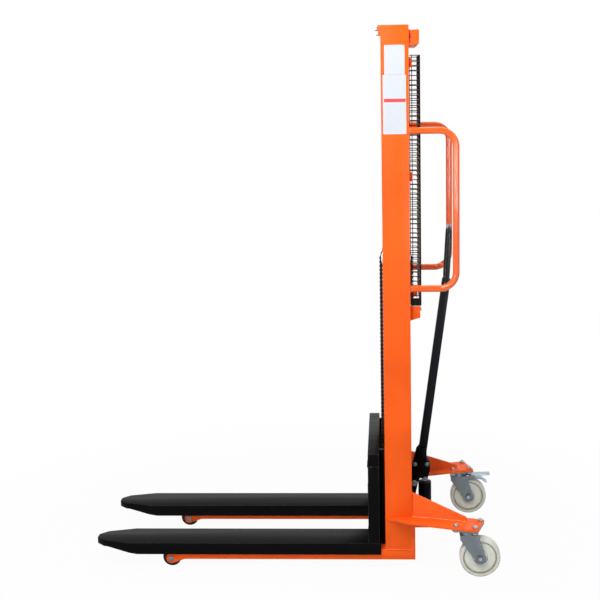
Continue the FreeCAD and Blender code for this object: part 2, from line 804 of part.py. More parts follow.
def chain():
    """Lifting chain in three stretches, with the fixed anchor on the cylinder."""
    half = chain_width / 2
    tangent = pulley_height - running_gap
    pieces["chain_front"] = [chain_strand(chain_front_x, lug_top, tangent)]
    pieces["chain_back"] = [chain_strand(chain_back_x, anchor_height, tangent)]
    ring = cross_pin(chain_radius + chain_height / 2, mast_middle, pulley_height, (-half, half))
    ring = ring.cut(cross_pin(chain_radius - chain_height / 2, mast_middle, pulley_height, (-half, half)))
    above = box((-column_depth, 2 * column_depth), (-half, half), (pulley_height, mast_height))
    pieces["chain_wrap"] = [ring.common(above)]
    floor = anchor_height - anchor_nut - anchor_plate
    half = anchor_width / 2
    plate = box((mast_middle, chain_back_x + anchor_edge), (-half, half), (floor, floor + anchor_plate))
    plate = plate.cut(round_bar(cylinder_radius, V(mast_middle, 0, 0), V(mast_middle, 0, mast_height)))
    axis = V(chain_back_x, 0, 0)
    hole = round_bar(anchor_bolt_radius + fit, axis, axis + ALONG_Z * mast_height)
    pieces["chain_anchor_bracket"] = [plate.cut(hole)]
    low = floor - anchor_nut
    pieces["mast_bolts"].append(join([
        round_bar(anchor_bolt_radius, axis + ALONG_Z * low, axis + ALONG_Z * anchor_height),
        Part.makeCylinder(anchor_nut_radius, anchor_nut, axis + ALONG_Z * low),
        Part.makeCylinder(anchor_nut_radius, anchor_nut, axis + ALONG_Z * (floor + anchor_plate))]))


def hand_rails():
    """Bent tube rails behind the columns."""
    y = rail_inset - half_mast
    x = column_depth + rail_reach
    points = [V(column_depth, y, rail_low), V(x, y, rail_low),
              V(x, y, rail_high), V(column_depth, y, rail_high)]
    bore = bent_bar(points, rail_bend, rail_radius - rail_wall)
    both_sides("hand_rail", bent_bar(points, rail_bend, rail_radius).cut(bore))


def mesh_panel(corner, across, width, columns, depth):
    """Flat wire mesh as one holed face, made thick."""
    height = guard_top - guard_bottom
    rows = round((height - guard_wire) / guard_pitch)

    def frame(a, b):
        points = [corner + across * a[0] + ALONG_Z * b[0], corner + across * a[1] + ALONG_Z * b[0],
                  corner + across * a[1] + ALONG_Z * b[1], corner + across * a[0] + ALONG_Z * b[1]]
        return Part.makePolygon(points + points[:1])

    step_a = (width - guard_wire) / columns
    step_b = (height - guard_wire) / rows
    holes = [frame((guard_wire + i * step_a, (i + 1) * step_a), (guard_wire + k * step_b, (k + 1) * step_b))
             for i in range(columns) for k in range(rows)]
    face = Part.makeFace([frame((0, width), (0, height))] + holes, "Part::FaceMakerBullseye")
    return face.extrude(depth)


def mesh_guard():
    """Wire mesh cage behind the mast, with its clips, brackets and bolts."""
    half = guard_width / 2
    front = column_depth + guard_front_gap
    rear = column_depth + guard_depth
    side_width = guard_depth - guard_front_gap - guard_wire
    thick = guard_wire
    pieces["guard_mesh_rear"] = [mesh_panel(V(rear - thick, -half, guard_bottom), ALONG_Y, guard_width,
                                            guard_columns, ALONG_X * thick)]
    side = mesh_panel(V(front, -half, guard_bottom), ALONG_X, side_width, 1, ALONG_Y * thick)
    pieces["guard_mesh_sides"] = [side, mirrored(side)]
    clips = []
    for drop in (guard_clip_low_drop, guard_clip_high_drop):
        middle = guard_top - drop
        z = (middle - guard_clip_height / 2, middle + guard_clip_height / 2)
        clip = box((column_depth, column_depth + guard_clip_depth), (-half - guard_clip_width, -half), z)
        clips += [clip, mirrored(clip)]
    outer = -half - guard_clip_width
    bottom = guard_bottom - guard_bracket_height
    tail = column_depth + guard_bracket_depth
    cheek = side_plate([(column_depth, bottom), (tail, bottom + guard_bracket_slope), (tail, guard_bottom),
                        (column_depth, guard_bottom)], (outer, outer + guard_bracket_sheet))
    flange = box((tail - guard_bracket_sheet, tail), (outer, outer + guard_bracket_width),
                 (bottom + guard_bracket_slope, guard_bottom))
    y = outer + (guard_bracket_width + guard_bracket_sheet) / 2
    z = guard_bottom - guard_bolt_drop
    hole = round_bar(guard_bolt_radius + fit, V(column_depth, y, z), V(tail, y, z))
    bracket = join([cheek, flange]).cut(hole)
    bolt = hex_bolt(guard_bolt_radius, guard_bolt_across, guard_bolt_head,
                    V(tail, y, z), ALONG_X, guard_bracket_sheet)
    pieces["guard_brackets"] = clips + [bracket, mirrored(bracket)]
    pieces["mast_bolts"] += [bolt, mirrored(bolt)]


def coil_spring(x, bottom, top):
    """Compression spring of round wire along Z, as one unbroken tube."""
    pitch = (top - bottom - 2 * spring_wire_radius) / spring_turns
    route = Part.makeHelix(pitch, pitch * spring_turns, spring_radius)
    section = Part.Wire(Part.makeCircle(spring_wire_radius, V(spring_radius, 0, 0), ALONG_Y))
    spring = Part.Wire(route.Edges).makePipeShell([section], True, True)
    spring.translate(V(x, 0, bottom + spring_wire_radius))
    return spring


def hand_pump():
    """Valve block with the pump barrel, its sprung plunger under a cap, and the pressure pipe."""
    half_x = pump_block_length / 2
    half_y = pump_block_width / 2
    middle = V(pump_x, 0, 0)
    block = box((pump_x - half_x, pump_x + half_x), (-half_y, half_y), (base_plate_top, pump_block_top))
    barrel = round_bar(pump_barrel_radius, middle + ALONG_Z * pump_block_top, middle + ALONG_Z * barrel_top)
    plunger_floor = barrel_top - plunger_engaged
    bore_floor = plunger_floor - plunger_stroke - plunger_floor_gap
    bore = round_bar(plunger_radius + fit, middle + ALONG_Z * bore_floor, middle + ALONG_Z * mast_height)
    body = join([block, barrel]).cut(bore)
    pedal_z = base_plate_top + pedal_pivot_rise
    pedal_x = pump_x + pedal_pivot_offset
    for y in ((-half_y, pedal_pin_length - half_y), (half_y - pedal_pin_length, half_y)):
        body = body.cut(cross_pin(pedal_pin_radius + fit, pedal_x, pedal_z, y))
    pieces["pump_body"] = [body]
    roof = cap_top - cap_roof
    skirt = round_bar(cap_radius, middle + ALONG_Z * (cap_top - cap_skirt), middle + ALONG_Z * cap_top)
    skirt = skirt.cut(round_bar(cap_radius - cap_wall, middle, middle + ALONG_Z * roof))
    stem = round_bar(plunger_radius, middle + ALONG_Z * plunger_floor, middle + ALONG_Z * roof)
    crown = Part.makeCylinder(crown_radius, crown_height, middle + ALONG_Z * cap_top)
    plunger = join([skirt, stem, crown])
    pieces["pump_plunger"] = [plunger]
    pieces["plunger_spring"] = [coil_spring(pump_x, barrel_top + fit, roof - fit)]
    pipe_start = V(mast_middle + cylinder_radius - cylinder_wall, 0, pipe_height)
    pieces["pressure_pipe"] = [round_bar(pipe_radius, pipe_start, V(pump_x - half_x, 0, pipe_height))]


def release_pedal():
    """Pedal that opens the lowering valve, hung on two pins in the valve block."""
    z = base_plate_top + pedal_pivot_rise
    x = pump_x + pedal_pivot_offset
    inner = pump_block_width / 2 + side_gap
    outer = inner + pedal_arm
    half = pedal_arm_height / 2
    rear = x + pedal_reach
    tread = pedal_tread_thickness / 2
    parts = [box((rear - pedal_tread, rear), (-outer, outer), (z - tread, z + tread))]
    for side in (-1, 1):
        y = sorted((side * inner, side * outer))
        parts.append(box((x, rear), y, (z - half, z + half)))
        parts.append(cross_pin(half, x, z, y))
        tip = side * (pump_block_width / 2 - pedal_pin_length + side_gap)
        parts.append(cross_pin(pedal_pin_radius, x, z, sorted((tip, side * inner))))
    pieces["release_pedal"] = [join(parts)]


def lever_post():
    """Two fixed posts on the cross plate that carry the pump lever's pivot pin."""
    inner = lever_bar_thickness / 2 + cheek_plate + side_gap
    y = (-inner - lever_post_plate, -inner)
    top = lever_pivot_height
    rear = lever_x + lever_post_radius
    profile = [(cross_plate_rear, caster_height - lever_post_foot),
               (cross_plate_rear + lever_post_lip, caster_height), (rear, top),
               (lever_x - lever_post_radius, top), (lever_x - lever_post_radius, caster_height),
               (cross_plate_rear, caster_height)]
    post = join([side_plate(profile, y), cross_pin(lever_post_radius, lever_x, lever_pivot_height, y)])
    post = post.cut(cross_pin(lever_pin_radius + fit, lever_x, lever_pivot_height, y))
    pieces["lever_posts"] = [post, mirrored(post)]
    end = inner + lever_post_plate
    pieces["lever_pivot_pin"] = [join([
        cross_pin(lever_pin_radius, lever_x, lever_pivot_height, (-end, end)),
        cross_pin(lever_pin_head_radius, lever_x, lever_pivot_height, (-end - lever_pin_head, -end)),
        cross_pin(lever_pin_head_radius, lever_x, lever_pivot_height, (end, end + lever_pin_head))])]


def pump_lever():
    """Lever: two cheeks on the pivot, a heel roller over the plunger, a box bar and a hand loop."""
    half_bar = lever_bar_thickness / 2
    cheek_y = (-half_bar - cheek_plate, -half_bar)
    heel = heel_pin_radius + (cap_top - crown_top + heel_roller_radius - heel_pin_radius) / 2
    heel_x = pump_x - lever_x
    heel_floor = heel_z - heel - lever_pivot_height
    outline = [(-lever_post_radius, 0), (lever_post_radius, 0), (cheek_arch_front, cheek_arch_rise),
               (cheek_arch_rear, cheek_arch_rise), (heel_x - cheek_heel_half, heel_floor),
               (heel_x + cheek_heel_half, heel_floor),
               (cheek_back, cheek_back_low_rise), (cheek_back, cheek_back_rise),
               (cheek_top_rear, cheek_waist_rise), (cheek_top_rear, cheek_height),
               (cheek_top_front, cheek_height), (cheek_neck, cheek_neck_rise),
               (-cheek_front, cheek_front_rise)]
    profile = [(lever_x + px, lever_pivot_height + pz) for px, pz in outline]
    eye = cross_pin(lever_post_radius, lever_x, lever_pivot_height, cheek_y)
    cheek = join([side_plate(profile, cheek_y), eye])
    cheek = cheek.cut(cross_pin(lever_pin_radius + fit, lever_x, lever_pivot_height, cheek_y))
    cheek = cheek.cut(cross_pin(heel_pin_radius + fit, pump_x, heel_z, cheek_y))
    bolt_z = lever_pivot_height + cheek_bolt_rise
    line_x = lever_x + lever_line_offset + (bolt_z - lever_pivot_height) * math.tan(lever_lean)
    reach = lever_bar_width / 2 / math.cos(lever_lean) + cheek_bolt_edge
    outer = half_bar + cheek_plate
    bolts = []
    for x in (line_x - reach, line_x + reach):
        cheek = cheek.cut(cross_pin(cheek_bolt_radius + fit, x, bolt_z, cheek_y))
        bolt = hex_bolt(cheek_bolt_radius, cheek_bolt_across, cheek_bolt_head,
                        V(x, -outer, bolt_z), -ALONG_Y, 2 * outer)
        nut = hexagon(cheek_bolt_across, cheek_bolt_head, V(x, outer, bolt_z), ALONG_Y)
        bolts.append(join([bolt, nut]))
    pieces["lever_cheeks"] = [cheek, mirrored(cheek)]
    heel_pin = join([cross_pin(heel_pin_radius, pump_x, heel_z, (-outer, outer)),
                     cross_pin(heel_pin_head_radius, pump_x, heel_z, (-outer - lever_pin_head, -outer)),
                     cross_pin(heel_pin_head_radius, pump_x, heel_z, (outer, outer + lever_pin_head))])
    pieces["lever_bolts"] = bolts + [heel_pin]
    roller = cross_pin(heel_roller_radius, pump_x, heel_z, (side_gap - half_bar, half_bar - side_gap))
    bore = cross_pin(heel_pin_radius + fit, pump_x, heel_z, (-half_bar, half_bar))
    pieces["heel_roller"] = [roller.cut(bore)]
    half = lever_bar_width / 2
    wall = lever_bar_wall
    bar = box((-half, half), (-half_bar, half_bar), (lever_bar_foot, lever_bar_foot + lever_bar_length))
    bar = bar.cut(box((wall - half, half - wall), (wall - half_bar, half_bar - wall),
                      (0, lever_bar_foot + lever_bar_length + overrun)))
    bar.rotate(V(0, 0, 0), ALONG_Y, math.degrees(lever_lean))
    bar.translate(V(lever_x + lever_line_offset, 0, lever_pivot_height))
    pieces["lever_bar"] = [bar]
    along = lever_bar_foot + lever_bar_length - loop_seat
    seat = V(lever_x + lever_line_offset + along * math.sin(lever_lean), 0,
             lever_pivot_height + along * math.cos(lever_lean))
    width = loop_width / 2
    points = [V(0, -half_bar, 0), V(0, -width, 0), V(0, -width, loop_height), V(0, width, loop_height),
              V(0, width, 0), V(0, half_bar, 0)]
    loop = bent_bar(points, loop_bend, loop_tube_radius)
    loop.rotate(V(0, 0, 0), ALONG_Y, math.degrees(loop_lean))
    pieces["lever_loop"] = [loop.translated(seat)]


def write_pieces():
    """One file for each node, moved so that the whole part stands centred over the origin."""
    os.makedirs("parts", exist_ok=True)
    for name, solids in pieces.items():
        shape = solids[0] if len(solids) == 1 else Part.makeCompound(solids)
        shape.translated(V(mast_front_x, 0, 0)).exportStep("parts/" + name + ".step")


columns()
top_crossbeam()
legs()
load_rollers()
base()
outriggers()
caster_tops()
casters()
forks()
carriage()
lift_cylinder()
chain_pulley()
chain()
hand_rails()
mesh_guard()
hand_pump()
release_pedal()
lever_post()
pump_lever()
write_pieces()
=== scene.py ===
import bmesh
import bpy
import json
import math
from bpy.props import FloatProperty, FloatVectorProperty, IntProperty, PointerProperty
from mathutils import Euler, Matrix, Vector


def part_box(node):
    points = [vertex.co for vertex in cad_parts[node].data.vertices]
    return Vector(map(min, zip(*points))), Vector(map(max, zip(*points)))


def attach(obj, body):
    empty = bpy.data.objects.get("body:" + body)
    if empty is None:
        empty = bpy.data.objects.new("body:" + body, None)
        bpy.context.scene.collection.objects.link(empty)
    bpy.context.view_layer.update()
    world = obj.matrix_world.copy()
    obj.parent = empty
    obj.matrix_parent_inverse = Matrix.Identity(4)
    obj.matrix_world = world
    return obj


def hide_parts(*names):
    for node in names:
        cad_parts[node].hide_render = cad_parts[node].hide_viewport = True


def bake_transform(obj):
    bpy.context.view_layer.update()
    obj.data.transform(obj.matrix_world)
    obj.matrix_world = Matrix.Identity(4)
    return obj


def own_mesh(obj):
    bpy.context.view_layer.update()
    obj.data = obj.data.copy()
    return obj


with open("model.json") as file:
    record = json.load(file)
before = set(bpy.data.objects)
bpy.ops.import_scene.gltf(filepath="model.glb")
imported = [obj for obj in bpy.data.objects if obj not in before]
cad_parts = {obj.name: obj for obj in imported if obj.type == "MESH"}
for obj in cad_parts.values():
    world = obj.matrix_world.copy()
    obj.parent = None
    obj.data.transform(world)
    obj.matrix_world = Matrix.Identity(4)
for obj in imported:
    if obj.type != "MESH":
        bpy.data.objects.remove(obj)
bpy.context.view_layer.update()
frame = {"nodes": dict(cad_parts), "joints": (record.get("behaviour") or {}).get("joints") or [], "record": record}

bl_info = {
    "name": "Hand Pallet Stacker",
    "version": (1, 0, 0),
    "blender": (4, 5, 0),
    "location": "View3D > Sidebar > Stacker",
    "description": "Dresses the packed frame of a hand pallet stacker with its finishes and fine parts",
    "category": "Object",
}

BODY_OF = {n: b for b, names in frame["record"]["behaviour"]["bodies"].items() for n in names}
SLOT_OF = {s["node"]: s["material_slot"] for s in frame["record"]["subparts"]}
FINISHES = {}
# Rings of a wheel's face from the tread inwards: width of the ring, step outwards, finish. The rim's nylon is
# darkened as painted shade, and the groove's is dark as painted shade in the recesses
WHEEL_RINGS = (
    (0.0050, 0.0050, "shaded_rim"),
    (0.0075, 0.0000, "shaded_rim"),
    (0.0015, -0.0080, "groove_shade"),
    (0.0030, 0.0000, "groove_shade"),
    (0.0025, 0.0035, "cream_nylon"),
    (0.0265, -0.0030, "cream_nylon"),
    (0.0020, 0.0000, "groove_shade"),
)
WHITE = (1.0, 1.0, 1.0, 1.0)
# Distances in metres: points this close are one, and a face this close to a plane lies in it
MERGE = 0.000002
NEAR = 0.0001
# Angles in degrees: faces closer than this are one, and edges sharper than these are rounded
FLAT_ANGLE = 0.5
PLATE_ANGLE = 34.0
WHEEL_ANGLE = 28.0
# Length of a weld's ripple in radii of the bead, and the bead's size at its necks and ends against its own
RIPPLE = 1.1
NECK_SHARE = 0.80
END_SHARE = 0.60
RING_NECK_SHARE = 0.75
# Half of a link plate's width as a share of the chain's, and its pin, bush and waist as shares of its own
LINK_SHARE = 0.94
PIN_SHARE = 0.42
BUSH_SHARE = 0.74
WAIST_SHARE = 0.66
# Distance from an outer to an inner link plate in plates, and a pin's rivet rim and rise in its radii
PLATE_STEP = 1.15
RIVET_RIM = 0.3
RIVET_RISE = 0.25
# Sides of the disc that a link plate is drawn from, and pairs of links round the pulley
LINK_SIDES = 12
WRAP_PAIRS = 5
# Blank plates on the left column: name, X from the column's front, Z, layer, corner radius, finish
BLANK_PLATES = (
    ("blank_plate_upper", (0.0130, 0.0856), (1.8455, 1.9500), 1, 0.0020, "label"),
    ("blank_plate_lower", (0.0067, 0.0900), (1.6350, 1.8450), 1, 0.0020, "label"),
    ("blank_plate_band", (0.0105, 0.0880), (1.7490, 1.7610), 2, 0.0005, "band"),
)
# Area lights: name, place, width, height, watts, and whether more than glossy surfaces see them
LIGHTS = (
    ("key_light", (-0.4, -2.2, 3.6), 1.6, 1.6, 108.0, True),
    ("fill_light", (3.4, -2.6, 2.8), 2.0, 2.0, 20.0, True),
    ("top_light", (0.2, 1.2, 4.6), 3.0, 3.0, 54.0, True),
    ("left_strip", (-0.70, -4.40, 1.9), 0.7, 2.4, 56.0, True),
    ("right_strip", (1.60, -4.30, 1.5), 0.5, 1.6, 8.0, True),
    ("left_gloss", (-2.4, -3.5, 1.45), 0.9, 1.1, 68.0, False),
    ("right_gloss", (2.4, -4.0, 1.45), 0.9, 1.1, 68.0, False),
)
LIGHT_AIM = Vector((0.1, 0.0, 0.9))
FLOOR_SIZE = 60.0
FLOOR_DROP = 0.0005
# The floor's shadows show by this share near the object and fade out between two distances from it
SHADOW_SHARE = 0.04
SHADOW_FADE = (0.9, 2.0)
# The world's light on the object from the camera's side, and how much more comes from behind
SKY_FRONT = 0.10
SKY_MORE = 0.72
# Camera: place, yaw, pitch and roll, then its image's width, focal length and optical centre in pixels
CAMERA_PLACE = (0.35586, -4.56218, 1.83714)
CAMERA_TURN = (-0.0524, 0.1529, -0.0181)
IMAGE_WIDTH = 600
FOCAL_LENGTH = 1192.3
OPTICAL_CENTRE = (326.28, 262.08)
SENSOR_WIDTH = 36.0


def length(name, description, default):
    """A size in metres."""
    return FloatProperty(name=name, description=description, default=default, min=default / 10, unit="LENGTH")


def angle(name, description, degrees):
    """An angle, given in degrees."""
    return FloatProperty(name=name, description=description, default=math.radians(degrees), subtype="ANGLE")


def count(name, description, default):
    """A number of equal parts."""
    return IntProperty(name=name, description=description, default=default, min=2)


def colour_of(name, description, default):
    """The colour of a finish."""
    return FloatVectorProperty(name=name, description=description, default=default, subtype="COLOR",
                               size=3, min=0.0, max=1.0)


class StackerSizes(bpy.types.PropertyGroup):
    """Sizes of the parts that are added to the frame."""

    plate_edge: length("Plate Edge", "Rounding of the edges of plates and channels", 0.0014)
    fastener_edge: length("Fastener Edge", "Rounding of the edges of bolts, nuts and pins", 0.0007)
    stud_inset: length("Stud Inset", "Width of the rim round an axle's sunk end", 0.0040)
    stud_depth: length("Stud Depth", "Depth of an axle's sunk end", 0.0006)
    column_depth: length("Column Depth", "Depth of a column from front to rear", 0.100)
    rail_bend: length("Rail Bend", "Bend radius of the hand rails", 0.060)
    guard_wire: length("Guard Wire", "Diameter of the guard's wires", 0.0032)
    guard_bend: length("Guard Bend", "Bend radius of the guard's level wires", 0.006)
    guard_rungs: count("Guard Rungs", "Number of level wires in the guard", 52)
    guard_uprights: count("Guard Uprights", "Number of upright wires behind the mast", 11)
    guard_foot: length("Guard Foot", "Height of the flat bar at the foot of the guard's left side", 0.028)
    guard_edge: length("Guard Edge", "Place of the front uprights from the ends of the level wires", 0.008)
    weld_radius: length("Weld Radius", "Half of a weld bead's width", 0.003)
    rib_height: length("Rib Height", "Height of an outrigger's rib at the mast", 0.094)
    rib_length: length("Rib Length", "Length of an outrigger's rib", 0.207)
    rib_inset: length("Rib Inset", "Place of the rib's root from the column's outer face", 0.012)
    rib_thickness: length("Rib Thickness", "Thickness of an outrigger's rib", 0.010)
    rib_turn: angle("Rib Turn", "Angle of the rib away from straight back", 14.0)
    upright_width: length("Upright Width", "Width of a carriage upright", 0.080)
    beam_height: length("Beam Height", "Height of the carriage's lower crossbeams", 0.040)
    beam_level: length("Beam Level", "Height of the middle crossbeam's underside over the floor", 0.270)
    wheel_width: length("Wheel Width", "Width of a caster wheel over its rim", 0.044)
    wheel_bore: length("Wheel Bore", "Radius of the hole for a caster wheel's axle", 0.00605)
    wheel_edge: length("Wheel Edge", "Rounding of a caster wheel's edges", 0.0009)
    hub_step: length("Hub Step", "Width of the slope up to a caster wheel's hub", 0.0015)
    chain_pitch: length("Chain Pitch", "Length of a chain link between its pins", 0.015875)
    chain_play: length("Chain Play", "Room at the ends of a chain's pins", 0.0008)
    link_plate: length("Link Plate", "Thickness of a chain link's plates", 0.002)
    loop_radius: length("Loop Radius", "Half of the thickness of the lever's hand loop", 0.0085)
    loop_bend: length("Loop Bend", "Bend radius of the hand loop's corners", 0.048)
    loop_lean: angle("Loop Lean", "Angle of the hand loop away from upright", 3.5)
    lever_half: length("Lever Half Width", "Half of the width of the lever's bar at the loop's ends", 0.014)
    label_thickness: length("Label Thickness", "Thickness of the blank plates on the column", 0.0004)


class StackerColours(bpy.types.PropertyGroup):
    """Colours of the finishes."""

    paint: colour_of("Mast Paint", "Powder coat of mast, legs and rails", (0.90, 0.112, 0.010))
    black: colour_of("Fork Paint", "Paint of forks, carriage and pump", (0.0020, 0.0021, 0.0027))
    zinc: colour_of("Zinc Plate", "Plating of yokes, bolts and pins", (0.155, 0.182, 0.20))
    nylon: colour_of("Wheel Nylon", "Plastic of the caster wheels", (0.66, 0.68, 0.61))
    tread: colour_of("Roller Tread", "Tread of the load rollers", (0.012, 0.011, 0.011))
    chain: colour_of("Oiled Chain", "Steel of the lifting chain", (0.024, 0.018, 0.015))
    label: colour_of("Blank Label", "Face of the blank plates", (0.53, 0.56, 0.61))
    band: colour_of("Label Band", "Band across the lower blank plate", (0.72, 0.035, 0.045))
    floor: colour_of("Floor", "Studio floor", (0.55, 0.55, 0.55))


class Sock:
    """A shader socket that can be used in sums."""

    def __init__(self, finish, socket):
        self.finish = finish
        self.socket = socket

    def maths(self, operation, other):
        """Adds one step of arithmetic."""
        return self.finish.node("ShaderNodeMath", {"operation": operation}, {0: self, 1: other})

    def __add__(self, other):
        return self.maths("ADD", other)

    def __sub__(self, other):
        return self.maths("SUBTRACT", other)

    def __mul__(self, other):
        return self.maths("MULTIPLY", other)


class Finish:
    """A procedural material, or the world, that is put together node by node."""

    def __init__(self, name, kind="materials"):
        self.owner = getattr(bpy.data, kind).new(name)
        self.owner.use_nodes = True
        self.tree = self.owner.node_tree
        self.tree.nodes.clear()
        self.place = self.node("ShaderNodeTexCoord", out="Object" if kind == "materials" else "Generated")

    def node(self, kind, settings=None, inputs=None, out=0):
        """Adds a node with its settings first, then its values and links, and gives one of its outputs."""
        made = self.tree.nodes.new(kind)
        for key, value in (settings or {}).items():
            setattr(made, key, value)
        for key, value in (inputs or {}).items():
            if isinstance(value, Sock):
                self.tree.links.new(value.socket, made.inputs[key])
            else:
                made.inputs[key].default_value = value
        return Sock(self, made.outputs[out])

    def noise(self, scale, detail=3.0, rough=0.55, stretch=None):
        """Cloudy values between 0 and 1, at a scale in patches per metre."""
        place = self.place
        if stretch:
            place = self.node("ShaderNodeMapping", None, {"Vector": place, "Scale": stretch})
        return self.node("ShaderNodeTexNoise", None, {
            "Vector": place, "Scale": scale, "Detail": detail, "Roughness": rough}, "Fac")

    def between(self, value, low, high):
        """Values that climb from 0 at low to 1 at high."""
        return self.node("ShaderNodeMapRange", {"interpolation_type": "SMOOTHSTEP"}, {
            "Value": value, "From Min": low, "From Max": high})

    def mix(self, factor, first, second):
        """A colour between two colours."""
        inputs = {0: factor}
        for index, colour in ((6, first), (7, second)):
            inputs[index] = colour if isinstance(colour, Sock) else (*colour, 1.0)
        return self.node("ShaderNodeMix", {"data_type": "RGBA", "clamp_factor": True}, inputs, 2)

    def bump(self, height, strength, distance):
        """A bumped normal."""
        return self.node("ShaderNodeBump", None, {
            "Height": height, "Strength": strength, "Distance": distance})

    def in_view(self, mirrored=1.0):
        """1 for the camera's rays, a share for mirrors and glass, 0 for light that falls on the object."""
        camera, glossy, through = (self.node("ShaderNodeLightPath", out=kind) for kind in (
            "Is Camera Ray", "Is Glossy Ray", "Is Transmission Ray"))
        return camera + (glossy + through) * mirrored

    def close(self, shader):
        """Closes the material or the world with its last shader."""
        kind = "World" if isinstance(self.owner, bpy.types.World) else "Material"
        output = self.tree.nodes.new("ShaderNodeOutput" + kind)
        self.tree.links.new(shader.socket, output.inputs["Surface"])
        return self.owner

    def surface(self, inputs):
        """Closes the material with one principled shader."""
        return self.close(self.node("ShaderNodeBsdfPrincipled", None, inputs))


def tint(colour, factor):
    """A lighter or darker colour."""
    return tuple(min(1.0, part * factor) for part in colour)


def powder_coat(name, colour, gloss, peel, shine, dust_colour, grain=(1.0, 1.0, 0.04)):
    """Powder-coated steel: orange peel, faint clouds, fine scratches along the grain, dust low down."""
    finish = Finish(name)
    clouds = finish.noise(5.0, 4.0)
    peel_height = finish.noise(300.0, 2.0)
    height = finish.node("ShaderNodeSeparateXYZ", None, {"Vector": finish.place}, "Z")
    base = finish.mix(finish.between(clouds, 0.3, 0.7), tint(colour, 0.90), tint(colour, 1.06))
    dust = finish.between(finish.noise(38.0, 5.0), 0.52, 0.78) * finish.between(height, 0.55, 0.05)
    base = finish.mix(dust * 0.12, base, dust_colour)
    scratch = finish.between(finish.noise(330.0, 2.0, 0.5, grain), 0.66, 0.74)
    worn = scratch * finish.between(finish.noise(9.0, 3.0), 0.48, 0.66)
    base = finish.mix(worn * 0.35, base, dust_colour)
    rub = finish.between(finish.noise(16.0, 6.0, 0.65, grain), 0.45, 0.75)
    return finish.surface({
        "Base Color": base,
        "Roughness": rub * 0.14 + worn * 0.20 + gloss,
        "Normal": finish.bump(peel_height - worn * 0.6, peel, 0.0006),
        "Specular IOR Level": shine,
    })


def worn_highlit_edge(name, colour, bright, gloss, shine):
    """The same paint on an edge: thin, worn by rubbing and chipped, and lighter as a painted highlight."""
    finish = Finish(name)
    rub_and_highlight = finish.between(finish.noise(60.0, 5.0, 0.6), 0.48, 0.72)
    chips = finish.between(finish.noise(210.0, 3.0), 0.63, 0.72)
    # The rubbed patches take the lighter colour: wear, and also a painted highlight along the edge
    base = finish.mix(rub_and_highlight * 0.55, tint(colour, 1.05), bright)
    base = finish.mix(chips * 0.7, base, (0.30, 0.29, 0.28))
    return finish.surface({
        "Base Color": base,
        "Metallic": chips * 0.6,
        "Roughness": rub_and_highlight * 0.18 + gloss,
        "Specular IOR Level": shine,
    })


def plated_steel(name, colour, rough, metallic):
    """Zinc-plated or turned steel with clouded spangle and fine scratches."""
    finish = Finish(name)
    cloud = finish.noise(140.0, 5.0, 0.6)
    scratch = finish.noise(300.0, 2.0, 0.5, (1.0, 1.0, 9.0))
    base = finish.mix(finish.between(cloud, 0.3, 0.72), tint(colour, 0.90), tint(colour, 1.10))
    stain = finish.between(finish.noise(24.0, 4.0), 0.62, 0.80)
    base = finish.mix(stain * 0.12, base, tint(colour, 0.6))
    return finish.surface({
        "Base Color": base,
        "Metallic": metallic,
        "Roughness": cloud * 0.22 + rough,
        "Normal": finish.bump(scratch, 0.12, 0.0003),
    })


def wheel_nylon(name, colour):
    """Cast nylon: satin, slightly mottled, with scuffs."""
    finish = Finish(name)
    mottle = finish.noise(30.0, 4.0)
    base = finish.mix(finish.between(mottle, 0.3, 0.7), tint(colour, 0.94), tint(colour, 1.05))
    scuff = finish.between(finish.noise(75.0, 6.0, 0.7), 0.58, 0.75)
    base = finish.mix(scuff * 0.22, base, (0.30, 0.29, 0.24))
    return finish.surface({
        "Base Color": base,
        "Roughness": scuff * 0.20 + 0.36,
        "Normal": finish.bump(finish.noise(700.0, 2.0), 0.10, 0.0003),
        "Specular IOR Level": 0.30,
    })


def roller_tread(name, colour):
    """Dark polyurethane tread with dust in its pores."""
    finish = Finish(name)
    grain = finish.noise(520.0, 3.0)
    dust = finish.between(finish.noise(60.0, 5.0, 0.65), 0.50, 0.78)
    return finish.surface({
        "Base Color": finish.mix(dust * 0.10, colour, (0.12, 0.09, 0.08)),
        "Roughness": dust * 0.25 + 0.42,
        "Normal": finish.bump(grain, 0.25, 0.0004),
        "Specular IOR Level": 0.15,
    })


def oiled_steel(name, colour):
    """Oiled chain steel, brighter where the plates rub."""
    finish = Finish(name)
    rub = finish.between(finish.noise(160.0, 4.0), 0.45, 0.70)
    return finish.surface({
        "Base Color": finish.mix(rub, tint(colour, 0.6), tint(colour, 2.2)),
        "Metallic": 0.85,
        "Roughness": rub * -0.12 + 0.46,
        "Normal": finish.bump(finish.noise(900.0, 2.0), 0.15, 0.0002),
    })


def hard_chrome(name):
    """Hard chrome with a trace of oil."""
    finish = Finish(name)
    film = finish.noise(26.0, 4.0, 0.6, (1.0, 1.0, 4.0))
    return finish.surface({
        "Base Color": finish.mix(finish.between(film, 0.35, 0.75), (0.78, 0.78, 0.79), (0.60, 0.59, 0.56)),
        "Metallic": 1.0,
        "Roughness": film * 0.16 + 0.06,
    })


def label_film(name, colour, gloss):
    """Plain film: smooth, with the faintest ripple of the glue under it."""
    finish = Finish(name)
    ripple = finish.noise(45.0, 3.0)
    return finish.surface({
        "Base Color": finish.mix(finish.between(ripple, 0.3, 0.7), tint(colour, 0.975), colour),
        "Roughness": ripple * 0.10 + gloss,
        "Normal": finish.bump(ripple, 0.06, 0.001),
    })


def deselect():
    """Selects nothing, so that the next operator starts clean."""
    bpy.ops.object.select_all(action="DESELECT")


def activate(piece):
    """Makes one object the only one that operators act on."""
    deselect()
    piece.select_set(True)
    bpy.context.view_layer.objects.active = piece


def pick(piece, vertex=None, edge=None, face=None):
    """Selects the elements of the edited mesh that pass a test of their place."""
    shape = bmesh.from_edit_mesh(piece.data)
    bpy.ops.mesh.select_all(action="DESELECT")
    for elements, test in ((shape.verts, vertex), (shape.edges, edge), (shape.faces, face)):
        if test:
            for element in elements:
                if test(element):
                    element.select_set(True)
    shape.select_flush_mode()
    bmesh.update_edit_mesh(piece.data)


